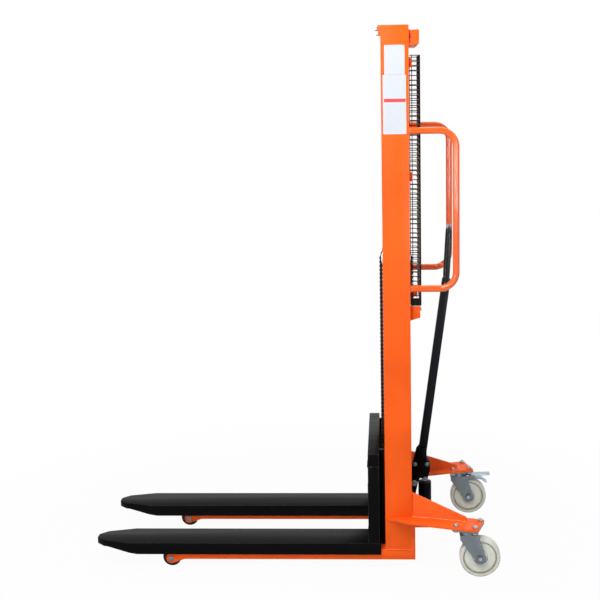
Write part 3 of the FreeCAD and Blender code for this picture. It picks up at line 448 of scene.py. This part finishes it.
def apply_modifier(piece, kind, **settings):
    """Adds a modifier with its settings and applies it."""
    activate(piece)
    modifier = piece.modifiers.new(kind.title(), kind)
    for key, value in settings.items():
        setattr(modifier, key, value)
    bpy.ops.object.modifier_apply(modifier=modifier.name)


def repeat(piece, times, step):
    """Sets equal copies of a piece in a row."""
    apply_modifier(piece, "ARRAY", count=times, use_relative_offset=False, use_constant_offset=True,
                   constant_offset_displace=step)


def settle(piece):
    """Puts an object's place, turn and size into its mesh."""
    activate(piece)
    bpy.ops.object.transform_apply(location=True, rotation=True, scale=True)


def edit(piece, kind="VERT"):
    """Opens the mesh of a piece for editing."""
    activate(piece)
    bpy.ops.object.mode_set(mode="EDIT")
    bpy.ops.mesh.select_mode(type=kind)


def leave():
    """Closes the edited mesh."""
    bpy.ops.object.mode_set(mode="OBJECT")


def close_up(piece):
    """Merges doubles, drops inner faces and turns all faces outwards."""
    edit(piece)
    bpy.ops.mesh.select_all(action="SELECT")
    bpy.ops.mesh.remove_doubles(threshold=MERGE)
    bpy.ops.mesh.select_all(action="DESELECT")
    bpy.ops.mesh.select_interior_faces()
    bpy.ops.mesh.delete(type="FACE")
    bpy.ops.mesh.select_all(action="SELECT")
    bpy.ops.mesh.normals_make_consistent(inside=False)
    leave()


def smooth(piece, degrees=35.0):
    """Shades a piece smooth, with its sharp edges kept."""
    activate(piece)
    bpy.ops.object.shade_smooth_by_angle(angle=math.radians(degrees))


def joined(pieces):
    """Joins pieces into the first of them."""
    deselect()
    for piece in pieces:
        piece.select_set(True)
    bpy.context.view_layer.objects.active = pieces[0]
    bpy.ops.object.join()
    return pieces[0]


def placed(piece, name, body, slot, finish, nodes=()):
    """Names a finished piece, gives it its finish and lets it ride on its body, if it has just one."""
    piece.name = name
    piece.data.name = name
    piece.data.materials.clear()
    piece.data.materials.append(FINISHES[finish])
    if body:
        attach(piece, body)
    if nodes:
        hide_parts(*nodes)
    return piece


def rounded_copy(node, edge, segments=2, finish=None):
    """Copies a node of the frame as one closed mesh and rounds its edges. These get the finish's edge version
    where it has one: worn by rubbing, and lighter as a painted highlight.
    """
    piece = bpy.data.objects.new(node + "_dressed", frame["nodes"][node].data.copy())
    bpy.context.scene.collection.objects.link(piece)
    activate(piece)
    bpy.ops.mesh.customdata_custom_splitnormals_clear()
    edit(piece)
    bpy.ops.mesh.select_all(action="SELECT")
    bpy.ops.mesh.remove_doubles(threshold=MERGE)
    bpy.ops.mesh.dissolve_limited(angle_limit=math.radians(FLAT_ANGLE))
    leave()
    slot = SLOT_OF[node]
    finish = finish or slot
    piece.data.materials.clear()
    piece.data.materials.append(FINISHES[finish])
    piece.data.materials.append(FINISHES.get(finish + "_edge", FINISHES[finish]))
    apply_modifier(piece, "BEVEL", width=edge, segments=segments, limit_method="ANGLE",
                   angle_limit=math.radians(PLATE_ANGLE), material=1, miter_outer="MITER_ARC")
    smooth(piece)
    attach(piece, BODY_OF[node])
    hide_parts(node)
    return piece


def repaint(piece, finish):
    """Gives another finish to the selected faces of the edited mesh."""
    if FINISHES[finish].name not in piece.data.materials:
        piece.data.materials.append(FINISHES[finish])
    piece.active_material_index = piece.data.materials.find(FINISHES[finish].name)
    bpy.ops.object.material_slot_assign()


def stud_ends(axle, ends, sizes):
    """Sinks the ends of an axle's bolt a little into its head and nut, and gives them the lighter zinc as a
    painted highlight.
    """
    edit(axle, "FACE")
    pick(axle, face=lambda f: min(abs(f.calc_center_median().y - end.y) for end in ends) < NEAR)
    bpy.ops.mesh.inset(thickness=sizes.stud_inset, depth=-sizes.stud_depth)
    repaint(axle, "highlit_zinc")
    leave()


def turned_wheel(node, sizes):
    """Turns a caster wheel: crowned tread, rim, groove, dished web and a bored hub. Tread, rim and hub take a
    darker nylon as painted shade, and the grooves a dark one as painted shade in their recesses.
    """
    low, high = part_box(node)
    hub = (low + high) / 2
    radius = (high.z - low.z) / 2
    crown = WHEEL_RINGS[0][1]
    deselect()
    bpy.ops.mesh.primitive_cylinder_add(vertices=72, radius=radius, depth=sizes.wheel_width - 2 * crown,
                                        location=hub, rotation=(math.pi / 2, 0.0, 0.0))
    wheel = placed(bpy.context.active_object, node + "_turned", BODY_OF[node], SLOT_OF[node],
                   "shaded_rim", (node,))
    settle(wheel)
    edit(wheel, "FACE")
    pick(wheel, face=lambda f: abs(f.normal.y) > 0.9)
    face = sizes.wheel_width / 2 - crown
    for width, step, finish in WHEEL_RINGS:
        repaint(wheel, finish)
        bpy.ops.mesh.inset(thickness=width, depth=step)
        radius -= width
        face += step
    # The hub takes the darker rim nylon, painted shade
    repaint(wheel, "shaded_rim")
    bpy.ops.mesh.inset(thickness=sizes.hub_step, depth=high.y - hub.y - face)
    bpy.ops.mesh.inset(thickness=radius - sizes.hub_step - sizes.wheel_bore)
    bpy.ops.mesh.bridge_edge_loops()
    leave()
    apply_modifier(wheel, "BEVEL", width=sizes.wheel_edge, segments=2, limit_method="ANGLE",
                   angle_limit=math.radians(WHEEL_ANGLE))
    close_up(wheel)
    smooth(wheel)


def bent_bar(points, bend, radius, sides, steps):
    """Draws a round bar by extruding its end along straight runs and spinning it round each corner."""
    stops = [Vector(point) for point in points]
    heading = (stops[1] - stops[0]).normalized()
    deselect()
    bpy.ops.mesh.primitive_circle_add(
        vertices=sides, radius=radius, fill_type="NGON", location=stops[0],
        rotation=heading.to_track_quat("Z", "Y").to_euler())
    bar = bpy.context.active_object
    settle(bar)
    edit(bar, "FACE")
    bpy.ops.mesh.select_all(action="SELECT")
    at = stops[0]
    for before, corner, after in zip(stops, stops[1:], stops[2:]):
        ahead = (corner - before).normalized()
        onward = (after - corner).normalized()
        turn = ahead.angle(onward)
        setback = bend * math.tan(turn / 2)
        start = corner - ahead * setback
        bpy.ops.mesh.extrude_region_move(TRANSFORM_OT_translate={"value": start - at})
        axis = ahead.cross(onward).normalized()
        bpy.ops.mesh.spin(steps=steps, angle=-turn, center=start + axis.cross(ahead) * bend, axis=axis)
        at = corner + onward * setback
    bpy.ops.mesh.extrude_region_move(TRANSFORM_OT_translate={"value": stops[-1] - at})
    leave()
    close_up(bar)
    smooth(bar, 50.0)
    return bar


def flat_plate(x, z, y, thickness, corner):
    """Cuts an upright plate with rounded corners, from the plane y towards -Y."""
    deselect()
    middle = ((x[0] + x[1]) / 2, y, (z[0] + z[1]) / 2)
    bpy.ops.mesh.primitive_plane_add(size=1.0, location=middle, rotation=(math.pi / 2, 0.0, 0.0))
    plate = bpy.context.active_object
    plate.scale = (x[1] - x[0], z[1] - z[0], 1.0)
    settle(plate)
    edit(plate)
    bpy.ops.mesh.select_all(action="SELECT")
    bpy.ops.mesh.bevel(offset=corner, segments=4, affect="VERTICES")
    bpy.ops.mesh.select_all(action="SELECT")
    bpy.ops.mesh.extrude_region_move(TRANSFORM_OT_translate={"value": (0.0, -thickness, 0.0)})
    leave()
    close_up(plate)
    return plate


def weld_bead(start, end, radius):
    """Lays a rippled weld bead between two points."""
    start = Vector(start)
    run = Vector(end) - start
    ripples = max(3, round(run.length / (radius * RIPPLE)))
    deselect()
    bpy.ops.mesh.primitive_cylinder_add(vertices=8, radius=radius, depth=run.length, end_fill_type="NGON")
    bead = bpy.context.active_object
    edit(bead, "EDGE")
    pick(bead, edge=lambda e: abs(e.verts[0].co.z - e.verts[1].co.z) > run.length / 2)
    bpy.ops.mesh.subdivide(number_cuts=2 * ripples - 1)
    step = run.length / (2 * ripples)
    bpy.ops.mesh.select_mode(type="VERT")
    pick(bead, vertex=lambda v: round((v.co.z + run.length / 2) / step) % 2 == 0)
    bpy.ops.transform.resize(value=(NECK_SHARE, NECK_SHARE, 1.0), center_override=(0.0, 0.0, 0.0))
    pick(bead, vertex=lambda v: abs(v.co.z) > run.length / 2 - step / 2)
    bpy.ops.transform.resize(value=(END_SHARE, END_SHARE, 1.0), center_override=(0.0, 0.0, 0.0))
    leave()
    bead.rotation_euler = run.to_track_quat("Z", "Y").to_euler()
    bead.location = start + run / 2
    settle(bead)
    smooth(bead, 60.0)
    return bead


class STACKER_OT_finishes(bpy.types.Operator):
    """Makes the finishes and puts them on the nodes of the frame"""

    bl_idname = "stacker.finishes"
    bl_label = "Finishes"

    def execute(self, context):
        hue = context.scene.stacker_colours
        paint, black, zinc = tuple(hue.paint), tuple(hue.black), tuple(hue.zinc)
        FINISHES.update({
            "orange_paint": powder_coat("mast_powder_coat", paint, 0.32, 0.16, 0.10, (0.50, 0.09, 0.02)),
            # Lighter edge colour: a painted highlight along the mast's edges, with real rubbing and chips
            "orange_paint_edge": worn_highlit_edge("mast_coat_edge", paint, (0.98, 0.32, 0.11), 0.24, 0.50),
            "rail_paint": powder_coat("rail_powder_coat", paint, 0.04, 0.02, 0.55, (0.50, 0.09, 0.02)),
            "black_paint": powder_coat("fork_paint", black, 0.34, 0.16, 0.04, (0.014, 0.013, 0.012),
                                       (0.03, 1.0, 1.0)),
            # Lighter edge colour: a painted highlight along the forks' edges, with real rubbing and chips
            "black_paint_edge": worn_highlit_edge("fork_paint_edge", black, (0.055, 0.056, 0.060), 0.34, 0.20),
            "zinc_plate": plated_steel("zinc_plate", zinc, 0.34, 0.60),
            # Zinc 2.4 times lighter and shinier: the shine is real, the lightness is a painted highlight
            "highlit_zinc": plated_steel("highlit_zinc", tint(zinc, 2.4), 0.20, 0.90),
            "bare_steel": plated_steel("turned_steel", (0.40, 0.40, 0.41), 0.24, 1.0),
            "cream_nylon": wheel_nylon("wheel_nylon", tuple(hue.nylon)),
            # The rim nylon is the wheel's nylon darkened as painted shade; the groove nylon is dark as painted
            # shade in the recesses
            "shaded_rim": wheel_nylon("shaded_rim_nylon", tint(tuple(hue.nylon), 0.95)),
            "groove_shade": wheel_nylon("groove_shade_nylon", (0.36, 0.34, 0.24)),
            "black_polyurethane": roller_tread("roller_tread", tuple(hue.tread)),
            "chrome_rod": hard_chrome("rod_chrome"),
            "oiled_chain": oiled_steel("chain_steel", tuple(hue.chain)),
            "lever_paint": powder_coat("lever_paint", (0.008, 0.010, 0.013), 0.34, 0.12, 0.06,
                                       (0.020, 0.020, 0.020)),
            "loop_paint": powder_coat("loop_paint", (0.0030, 0.0034, 0.0048), 0.22, 0.08, 0.34,
                                      (0.020, 0.020, 0.020)),
            "guard_wire": powder_coat("guard_wire_paint", (0.004, 0.004, 0.004), 0.40, 0.05, 0.12,
                                      (0.012, 0.011, 0.010)),
            "label": label_film("blank_label", tuple(hue.label), 0.30),
            "band": label_film("label_band", tuple(hue.band), 0.30),
        })
        for name, node in frame["nodes"].items():
            node.data.materials.clear()
            node.data.materials.append(FINISHES[SLOT_OF[name]])
        return {"FINISHED"}


class STACKER_OT_chassis(bpy.types.Operator):
    """Rounds the edges of the painted mast, legs, base and outriggers"""

    bl_idname = "stacker.chassis"
    bl_label = "Mast and Base"

    def execute(self, context):
        edge = context.scene.stacker_sizes.plate_edge
        for node in ("left_column", "right_column", "top_crossbeam", "left_leg", "right_leg",
                     "rear_cross_plate", "base_plate", "left_outrigger", "right_outrigger",
                     "guard_brackets"):
            rounded_copy(node, edge)
        return {"FINISHED"}


class STACKER_OT_carriage(bpy.types.Operator):
    """Rounds the edges of the forks and the carriage"""

    bl_idname = "stacker.carriage"
    bl_label = "Forks and Carriage"

    def execute(self, context):
        edge = context.scene.stacker_sizes.plate_edge
        for node in ("left_fork", "right_fork", "carriage_uprights", "carriage_crossbeams",
                     "roller_brackets"):
            rounded_copy(node, edge)
        return {"FINISHED"}


class STACKER_OT_casters(bpy.types.Operator):
    """Turns the caster wheels and rounds the casters, load rollers and fasteners"""

    bl_idname = "stacker.casters"
    bl_label = "Casters and Fasteners"

    def execute(self, context):
        sizes = context.scene.stacker_sizes
        for node in ("left_caster_yoke", "right_caster_yoke", "caster_plates"):
            rounded_copy(node, sizes.plate_edge)
        # The brake pedal takes the lighter zinc, a painted highlight
        rounded_copy("brake_pedal", sizes.plate_edge, finish="highlit_zinc")
        rounded_copy("load_roller_axles", sizes.fastener_edge)
        for side in ("left", "right"):
            turned_wheel(side + "_caster_wheel", sizes)
            axle = rounded_copy(side + "_caster_axle", sizes.fastener_edge)
            stud_ends(axle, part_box(side + "_caster_axle"), sizes)
        for node in ("left_load_roller", "right_load_roller"):
            rounded_copy(node, 2 * sizes.plate_edge, 3)
        # Fasteners take the lighter zinc, a painted highlight
        for node in ("caster_fasteners", "mast_bolts"):
            rounded_copy(node, sizes.fastener_edge, finish="highlit_zinc")
        return {"FINISHED"}


class STACKER_OT_rails(bpy.types.Operator):
    """Bends the two hand rails"""

    bl_idname = "stacker.rails"
    bl_label = "Hand Rails"

    def execute(self, context):
        bend = context.scene.stacker_sizes.rail_bend
        for side in ("left", "right"):
            node = side + "_hand_rail"
            low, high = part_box(node)
            radius = (high.y - low.y) / 2
            y = (low.y + high.y) / 2
            rear = high.x - radius
            points = [(low.x, y, low.z + radius), (rear, y, low.z + radius),
                      (rear, y, high.z - radius), (low.x, y, high.z - radius)]
            rail = bent_bar(points, bend, radius, sides=28, steps=12)
            placed(rail, node + "_tube", "chassis", "orange_paint", "rail_paint", (node,))
        return {"FINISHED"}


class STACKER_OT_guard(bpy.types.Operator):
    """Welds up the guard's cage of level and upright wires"""

    bl_idname = "stacker.guard"
    bl_label = "Mesh Guard"

    def execute(self, context):
        sizes = context.scene.stacker_sizes
        radius = sizes.guard_wire / 2
        rear_low, rear_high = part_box("guard_mesh_rear")
        rear = rear_high.x - radius
        half = rear_high.y - radius
        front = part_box("guard_mesh_sides")[0].x
        bottom = rear_low.z + radius
        top = rear_high.z - radius
        inner = half - 2 * radius
        before = rear - 2 * radius
        rung = bent_bar([(front, -inner, bottom), (before, -inner, bottom), (before, inner, bottom),
                         (front, inner, bottom)], sizes.guard_bend, radius, sides=6, steps=3)
        repeat(rung, sizes.guard_rungs, (0.0, 0.0, (top - bottom) / (sizes.guard_rungs - 1)))
        edge = front + sizes.guard_edge
        uprights = [bent_bar([(x, y, rear_low.z), (x, y, rear_high.z)], 0.0, radius, sides=6, steps=1)
                    for x, y in ((rear, -inner), (edge, -half), (edge, half))]
        repeat(uprights[0], sizes.guard_uprights, (0.0, 2 * inner / (sizes.guard_uprights - 1), 0.0))
        wires = [rung, *uprights]
        wires.append(flat_plate((front, rear), (rear_low.z, rear_low.z + sizes.guard_foot),
                                radius - half, 2 * radius, radius))
        placed(joined(wires), "guard_cage", "chassis", "guard_wire", "guard_wire",
               ("guard_mesh_rear", "guard_mesh_sides"))
        return {"FINISHED"}


def link_plate(y, thickness, radius, pitch):
    """Cuts one chain link plate: a disc drawn out over two pins and drawn in between them."""
    deselect()
    bpy.ops.mesh.primitive_cylinder_add(vertices=LINK_SIDES, radius=radius, depth=thickness,
                                        rotation=(math.pi / 2, 0.0, 0.0))
    plate = bpy.context.active_object
    settle(plate)
    edit(plate)
    bpy.ops.mesh.select_all(action="SELECT")
    bpy.ops.transform.rotate(value=math.pi / LINK_SIDES, orient_axis="Y", center_override=(0.0, 0.0, 0.0))
    pick(plate, vertex=lambda v: v.co.z > 0)
    bpy.ops.transform.translate(value=(0.0, 0.0, pitch))
    bpy.ops.mesh.select_mode(type="EDGE")
    pick(plate, edge=lambda e: abs(e.verts[0].co.z - e.verts[1].co.z) > pitch * 0.8)
    bpy.ops.mesh.subdivide(number_cuts=1)
    bpy.ops.mesh.select_mode(type="VERT")
    pick(plate, vertex=lambda v: abs(v.co.z - pitch / 2) < pitch * 0.05)
    bpy.ops.transform.resize(value=(WAIST_SHARE, 1.0, 1.0), center_override=(0.0, 0.0, pitch / 2))
    bpy.ops.mesh.select_all(action="SELECT")
    bpy.ops.transform.translate(value=(0.0, y, 0.0))
    leave()
    return plate


def link_pin(z, radius, depth):
    """Turns one chain pin with its riveted ends."""
    deselect()
    bpy.ops.mesh.primitive_cylinder_add(vertices=8, radius=radius, depth=depth, location=(0.0, 0.0, z),
                                        rotation=(math.pi / 2, 0.0, 0.0))
    pin = bpy.context.active_object
    settle(pin)
    edit(pin, "FACE")
    pick(pin, face=lambda f: abs(f.normal.y) > 0.9)
    bpy.ops.mesh.inset(thickness=radius * RIVET_RIM, depth=radius * RIVET_RISE)
    leave()
    return pin


def link_pair(sizes, radius, width, pitch):
    """Makes an outer and an inner link in a row, from z = 0 upwards."""
    plate = sizes.link_plate
    outer = width / 2 - plate / 2 - sizes.chain_play
    inner = outer - plate * PLATE_STEP
    parts = [link_plate(y, plate, radius, pitch) for y in (-outer, outer)]
    for y in (-inner, inner):
        part = link_plate(y, plate, radius, pitch)
        part.location.z = pitch
        settle(part)
        parts.append(part)
    parts += [link_pin(z, radius * PIN_SHARE, width - sizes.chain_play) for z in (0.0, pitch)]
    parts += [link_pin(z, radius * BUSH_SHARE, 2 * (inner - plate / 2)) for z in (0.0, pitch)]
    return joined(parts)


class STACKER_OT_chain(bpy.types.Operator):
    """Links up the lifting chain in its three stretches"""

    bl_idname = "stacker.chain"
    bl_label = "Lifting Chain"

    def execute(self, context):
        sizes = context.scene.stacker_sizes
        slot_and_finish = ("oiled_chain", "oiled_chain")
        front, low, high = self.strand("chain_front", sizes)
        placed(front, "chain_front_links", "carriage", *slot_and_finish, ("chain_front",))
        lift = next(j for j in frame["joints"] if j["name"] == "carriage_lift")["range_m"][1]
        1 - lift / 2 / (high[2] - low[2])
        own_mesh(front)
        front_x = low[0]
        back, low, high = self.strand("chain_back", sizes)
        placed(back, "chain_back_links", None, *slot_and_finish, ("chain_back",))
        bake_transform(back)
        wrap = self.wrap(front_x, low[0], sizes)
        placed(wrap, "chain_wrap_links", "lift_head", *slot_and_finish, ("chain_wrap",))
        return {"FINISHED"}

    def section(self):
        """Half of the width of the chain's plates and the length of its pins."""
        low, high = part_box("chain_front")
        return (high.x - low.x) / 2 * LINK_SHARE, high.y - low.y

    def strand(self, node, sizes):
        """Links a straight stretch and gives it with the middles of its lower and upper end."""
        low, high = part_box(node)
        x = (low.x + high.x) / 2
        pairs = max(1, round((high.z - low.z) / (2 * sizes.chain_pitch)))
        pitch = (high.z - low.z) / (2 * pairs)
        strand = link_pair(sizes, *self.section(), pitch)
        repeat(strand, pairs, (0.0, 0.0, 2 * pitch))
        strand.location = (x, 0.0, low.z)
        settle(strand)
        smooth(strand, 30.0)
        return strand, (x, 0, low.z), (x, 0, high.z)

    def wrap(self, front_x, back_x, sizes):
        """Links the stretch over the pulley, between the two straight ones."""
        arm = (back_x - front_x) / 2
        centre = Vector(((front_x + back_x) / 2, 0.0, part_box("chain_wrap")[0].z))
        turn = math.pi / (2 * WRAP_PAIRS)
        chord = 2 * arm * math.sin(turn / 2)
        links = []
        for k in range(WRAP_PAIRS):
            along = 2 * k * turn
            pair = link_pair(sizes, *self.section(), chord)
            pair.location = centre + Vector((-arm * math.cos(along), 0.0, arm * math.sin(along)))
            pair.rotation_euler = Euler((0.0, along + turn, 0.0))
            settle(pair)
            links.append(pair)
        wrap = joined(links)
        smooth(wrap, 30.0)
        return wrap


class STACKER_OT_lift(bpy.types.Operator):
    """Rounds the cylinder, its rod and the pulley"""

    bl_idname = "stacker.lift"
    bl_label = "Cylinder and Pulley"

    def execute(self, context):
        sizes = context.scene.stacker_sizes
        for node in ("lift_cylinder", "cylinder_gland", "pulley_yoke", "chain_anchor_bracket",
                     "chain_pulley"):
            rounded_copy(node, sizes.plate_edge)
        for node in ("piston_rod", "pulley_axle"):
            rounded_copy(node, sizes.fastener_edge)
        return {"FINISHED"}


class STACKER_OT_pump(bpy.types.Operator):
    """Rounds the pump and its lever and bends the lever's loop"""

    bl_idname = "stacker.pump"
    bl_label = "Pump and Lever"

    def execute(self, context):
        sizes = context.scene.stacker_sizes
        for node in ("pump_body", "pump_plunger", "release_pedal", "lever_posts", "lever_cheeks"):
            rounded_copy(node, sizes.plate_edge)
        rounded_copy("lever_bar", sizes.plate_edge, finish="lever_paint")
        for node in ("lever_bolts", "lever_pivot_pin"):
            rounded_copy(node, sizes.fastener_edge)
        low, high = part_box("plunger_spring")
        spring = rounded_copy("plunger_spring", sizes.fastener_edge)
        stroke = next(j for j in frame["joints"] if j["name"] == "plunger_stroke")["range_m"][1]
        1 - stroke / (high.z - low.z)
        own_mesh(spring)
        low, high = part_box("lever_loop")
        radius = sizes.loop_radius
        half = high.y - radius
        lean = sizes.loop_lean
        seat = sizes.lever_half
        foot = Vector((low.x + radius, 0.0, low.z + radius))
        reach = (high.z - low.z - 2 * radius) / math.cos(lean)
        top = foot + Vector((reach * math.sin(lean), 0.0, reach * math.cos(lean)))
        points = [(foot.x, -seat, foot.z), (foot.x, -half, foot.z), (top.x, -half, top.z),
                  (top.x, half, top.z), (foot.x, half, foot.z), (foot.x, seat, foot.z)]
        loop = bent_bar(points, sizes.loop_bend, radius, sides=24, steps=10)
        placed(loop, "lever_loop_tube", "pump_lever", "black_paint", "loop_paint", ("lever_loop",))
        return {"FINISHED"}


def weld_ring(centre, axis, around, radius):
    """Lays a rippled weld bead round a bar."""
    ripples = max(8, round(2 * math.pi * around / (radius * RIPPLE)))
    deselect()
    bpy.ops.mesh.primitive_torus_add(
        location=centre, rotation=Vector(axis).to_track_quat("Z", "Y").to_euler(), major_radius=around,
        minor_radius=radius, major_segments=2 * ripples, minor_segments=8)
    ring = bpy.context.active_object
    edit(ring)
    step = math.pi / ripples
    pick(ring, vertex=lambda v: round(math.atan2(v.co.y, v.co.x) / step) % 2 == 0)
    bpy.ops.transform.resize(value=(1.0, 1.0, RING_NECK_SHARE))
    leave()
    settle(ring)
    smooth(ring, 60.0)
    return ring


class STACKER_OT_welds(bpy.types.Operator):
    """Lays the weld beads of mast, outriggers, rails, carriage and lever"""

    bl_idname = "stacker.welds"
    bl_label = "Weld Beads"

    def execute(self, context):
        sizes = context.scene.stacker_sizes
        runs = {"chassis": self.mast_runs(sizes), "carriage": self.carriage_runs(sizes), "pump_lever": []}
        rings = {"chassis": self.rail_rings(), "carriage": [], "pump_lever": self.loop_rings(sizes)}
        for body, slot, finish in (("chassis", "orange_paint", "rail_paint"),
                                   ("carriage", "black_paint", "black_paint"),
                                   ("pump_lever", "black_paint", "lever_paint")):
            beads = [weld_bead(start, end, sizes.weld_radius) for start, end in runs[body]]
            beads += [weld_ring(*ring, sizes.weld_radius) for ring in rings[body]]
            placed(joined(beads), body + "_welds", body, slot, finish)
        return {"FINISHED"}

    def mast_runs(self, sizes):
        """Start and end of each bead on columns, ribs and crossbeam."""
        low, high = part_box("left_column")
        beam_low, beam_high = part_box("top_crossbeam")
        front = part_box("left_leg")[1].x - sizes.column_depth
        rear = high.x
        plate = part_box("left_outrigger")[1].z - sizes.rib_height
        runs = []
        for side in (-1, 1):
            face = -side * low.y
            root = face - side * sizes.rib_inset
            along = Vector((math.cos(sizes.rib_turn), side * math.sin(sizes.rib_turn), 0.0))
            across = Vector((-along.y, along.x, 0.0)) * sizes.rib_thickness / 2
            runs.append(((front, face, low.z), (rear, face, low.z)))
            for offset in (-across, across):
                start = Vector((rear, root, plate)) + offset
                runs.append((start, start + along * sizes.rib_length))
                runs.append((start, start + Vector((0.0, 0.0, sizes.rib_height))))
            for level in (beam_low.z, beam_high.z):
                runs.append(((rear, side * beam_high.y, level), (rear, -side * high.y, level)))
        return runs

    def carriage_runs(self, sizes):
        """Start and end of each bead on forks, uprights and crossbeams."""
        low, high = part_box("carriage_uprights")
        inner = high.y - sizes.upright_width
        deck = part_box("left_fork")[1].z
        runs = []
        for side in (-1, 1):
            for level in (deck, high.z):
                runs.append(((low.x, side * high.y, level), (low.x, side * inner, level)))
            for level in (low.z, high.z):
                runs.append(((low.x, side * inner, level), (high.x, side * inner, level)))
            for bottom in (low.z, sizes.beam_level):
                for x in (low.x, high.x):
                    runs.append(((x, side * inner, bottom), (x, side * inner, bottom + sizes.beam_height)))
        return runs

    def rail_rings(self):
        """Centre, axis and radius of each bead round a rail's ends."""
        rings = []
        for side in ("left", "right"):
            low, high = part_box(side + "_hand_rail")
            radius = (high.y - low.y) / 2
            for z in (low.z + radius, high.z - radius):
                rings.append(((low.x, (low.y + high.y) / 2, z), (1.0, 0.0, 0.0), radius))
        return rings

    def loop_rings(self, sizes):
        """Centre, axis and radius of the beads that hold the loop to the lever."""
        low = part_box("lever_loop")[0]
        radius = sizes.loop_radius
        return [((low.x + radius, y, low.z + radius), (0.0, 1.0, 0.0), radius)
                for y in (-sizes.lever_half, sizes.lever_half)]


class STACKER_OT_labels(bpy.types.Operator):
    """Sticks the two blank plates and the plain band on the left column"""

    bl_idname = "stacker.labels"
    bl_label = "Blank Plates"

    def execute(self, context):
        sizes = context.scene.stacker_sizes
        thickness = sizes.label_thickness
        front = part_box("right_column")[1].x - sizes.column_depth
        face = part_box("left_column")[0].y
        for name, x, z, layer, corner, finish in BLANK_PLATES:
            back = face - thickness * (layer - 1)
            plate = flat_plate([end + front for end in x], z, back, thickness, corner)
            placed(plate, name, "chassis", None, finish)
        return {"FINISHED"}


class STACKER_OT_stage(bpy.types.Operator):
    """Sets up floor, lights, world and camera"""

    bl_idname = "stacker.stage"
    bl_label = "Studio"

    def execute(self, context):
        scene = context.scene
        scene.view_settings.view_transform = "Standard"
        deselect()
        bpy.ops.mesh.primitive_plane_add(size=FLOOR_SIZE, location=(0.0, 0.0, -FLOOR_DROP))
        floor = context.active_object
        floor.name = "studio_floor"
        finish = Finish("studio_floor")
        plain = finish.node("ShaderNodeBsdfDiffuse", None, {"Color": (*scene.stacker_colours.floor, 1.0)})
        glow = finish.node("ShaderNodeEmission", None, {"Color": WHITE, "Strength": 1.0})
        away = finish.node("ShaderNodeVectorMath", {"operation": "LENGTH"}, {0: finish.place}, "Value")
        clear = finish.between(away, *SHADOW_FADE) * SHADOW_SHARE + (1 - SHADOW_SHARE)
        floor.data.materials.append(finish.close(finish.node("ShaderNodeMixShader", None, {
            0: finish.in_view() * clear, 1: plain, 2: glow})))

        sky = Finish("studio_world", "worlds")
        depth = sky.node("ShaderNodeSeparateXYZ", None, {"Vector": sky.place}, "Y")
        level = sky.between(depth, -0.6, 0.8) * SKY_MORE + SKY_FRONT
        soft = sky.node("ShaderNodeBackground", None, {"Color": WHITE, "Strength": level})
        white = sky.node("ShaderNodeBackground", None, {"Color": WHITE, "Strength": 1.0})
        scene.world = sky.close(sky.node("ShaderNodeMixShader", None, {
            0: sky.in_view(sky.between(depth, -0.7, 0.3)), 1: soft, 2: white}))

        for name, place, width, tall, power, diffuse in LIGHTS:
            turn = (LIGHT_AIM - Vector(place)).to_track_quat("-Z", "Y").to_euler()
            bpy.ops.object.light_add(type="AREA", location=place, rotation=turn)
            lamp = context.active_object
            lamp.name = name
            lamp.data.shape = "RECTANGLE"
            lamp.data.size = width
            lamp.data.size_y = tall
            lamp.data.energy = power
            lamp.visible_camera = False
            lamp.visible_diffuse = diffuse

        yaw, pitch, roll = CAMERA_TURN
        ahead = Vector((math.sin(yaw) * math.cos(pitch), math.cos(yaw) * math.cos(pitch), -math.sin(pitch)))
        aside = Vector((math.cos(yaw), -math.sin(yaw), 0.0))
        rise = aside.cross(ahead)
        right = aside * math.cos(roll) + rise * math.sin(roll)
        up = rise * math.cos(roll) - aside * math.sin(roll)
        bpy.ops.object.camera_add(location=CAMERA_PLACE)
        camera = context.active_object
        camera.name = "photo_camera"
        camera.rotation_euler = Matrix((right, up, -ahead)).transposed().to_euler()
        camera.data.sensor_width = SENSOR_WIDTH
        camera.data.lens = FOCAL_LENGTH / IMAGE_WIDTH * SENSOR_WIDTH
        camera.data.shift_x = 0.5 - OPTICAL_CENTRE[0] / IMAGE_WIDTH
        camera.data.shift_y = OPTICAL_CENTRE[1] / IMAGE_WIDTH - 0.5
        scene.camera = camera
        return {"FINISHED"}


OPERATORS = (
    STACKER_OT_stage,
    STACKER_OT_finishes,
    STACKER_OT_chassis,
    STACKER_OT_carriage,
    STACKER_OT_casters,
    STACKER_OT_rails,
    STACKER_OT_guard,
    STACKER_OT_chain,
    STACKER_OT_lift,
    STACKER_OT_pump,
    STACKER_OT_welds,
    STACKER_OT_labels,
)


class STACKER_PT_panel(bpy.types.Panel):
    """Lists the sizes, the colours and the steps"""

    bl_idname = "STACKER_PT_panel"
    bl_label = "Hand Pallet Stacker"
    bl_space_type = "VIEW_3D"
    bl_region_type = "UI"
    bl_category = "Stacker"

    def draw(self, context):
        column = self.layout.column()
        for group in (context.scene.stacker_sizes, context.scene.stacker_colours):
            for key in group.__annotations__:
                column.prop(group, key)
        for operator in OPERATORS:
            column.operator(operator.bl_idname)


CLASSES = (StackerSizes, StackerColours, *OPERATORS, STACKER_PT_panel)


def register():
    """Registers the classes and their settings."""
    for cls in CLASSES:
        bpy.utils.register_class(cls)
    bpy.types.Scene.stacker_sizes = PointerProperty(type=StackerSizes)
    bpy.types.Scene.stacker_colours = PointerProperty(type=StackerColours)


def unregister():
    """Takes them out again."""
    del bpy.types.Scene.stacker_colours
    del bpy.types.Scene.stacker_sizes
    for cls in reversed(CLASSES):
        bpy.utils.unregister_class(cls)


def main():
    """Builds the looks in order."""
    register()
    for operator in OPERATORS:
        group, action = operator.bl_idname.split(".")
        getattr(getattr(bpy.ops, group), action)()
    bpy.context.view_layer.update()


if __name__ == "__main__":
    main()
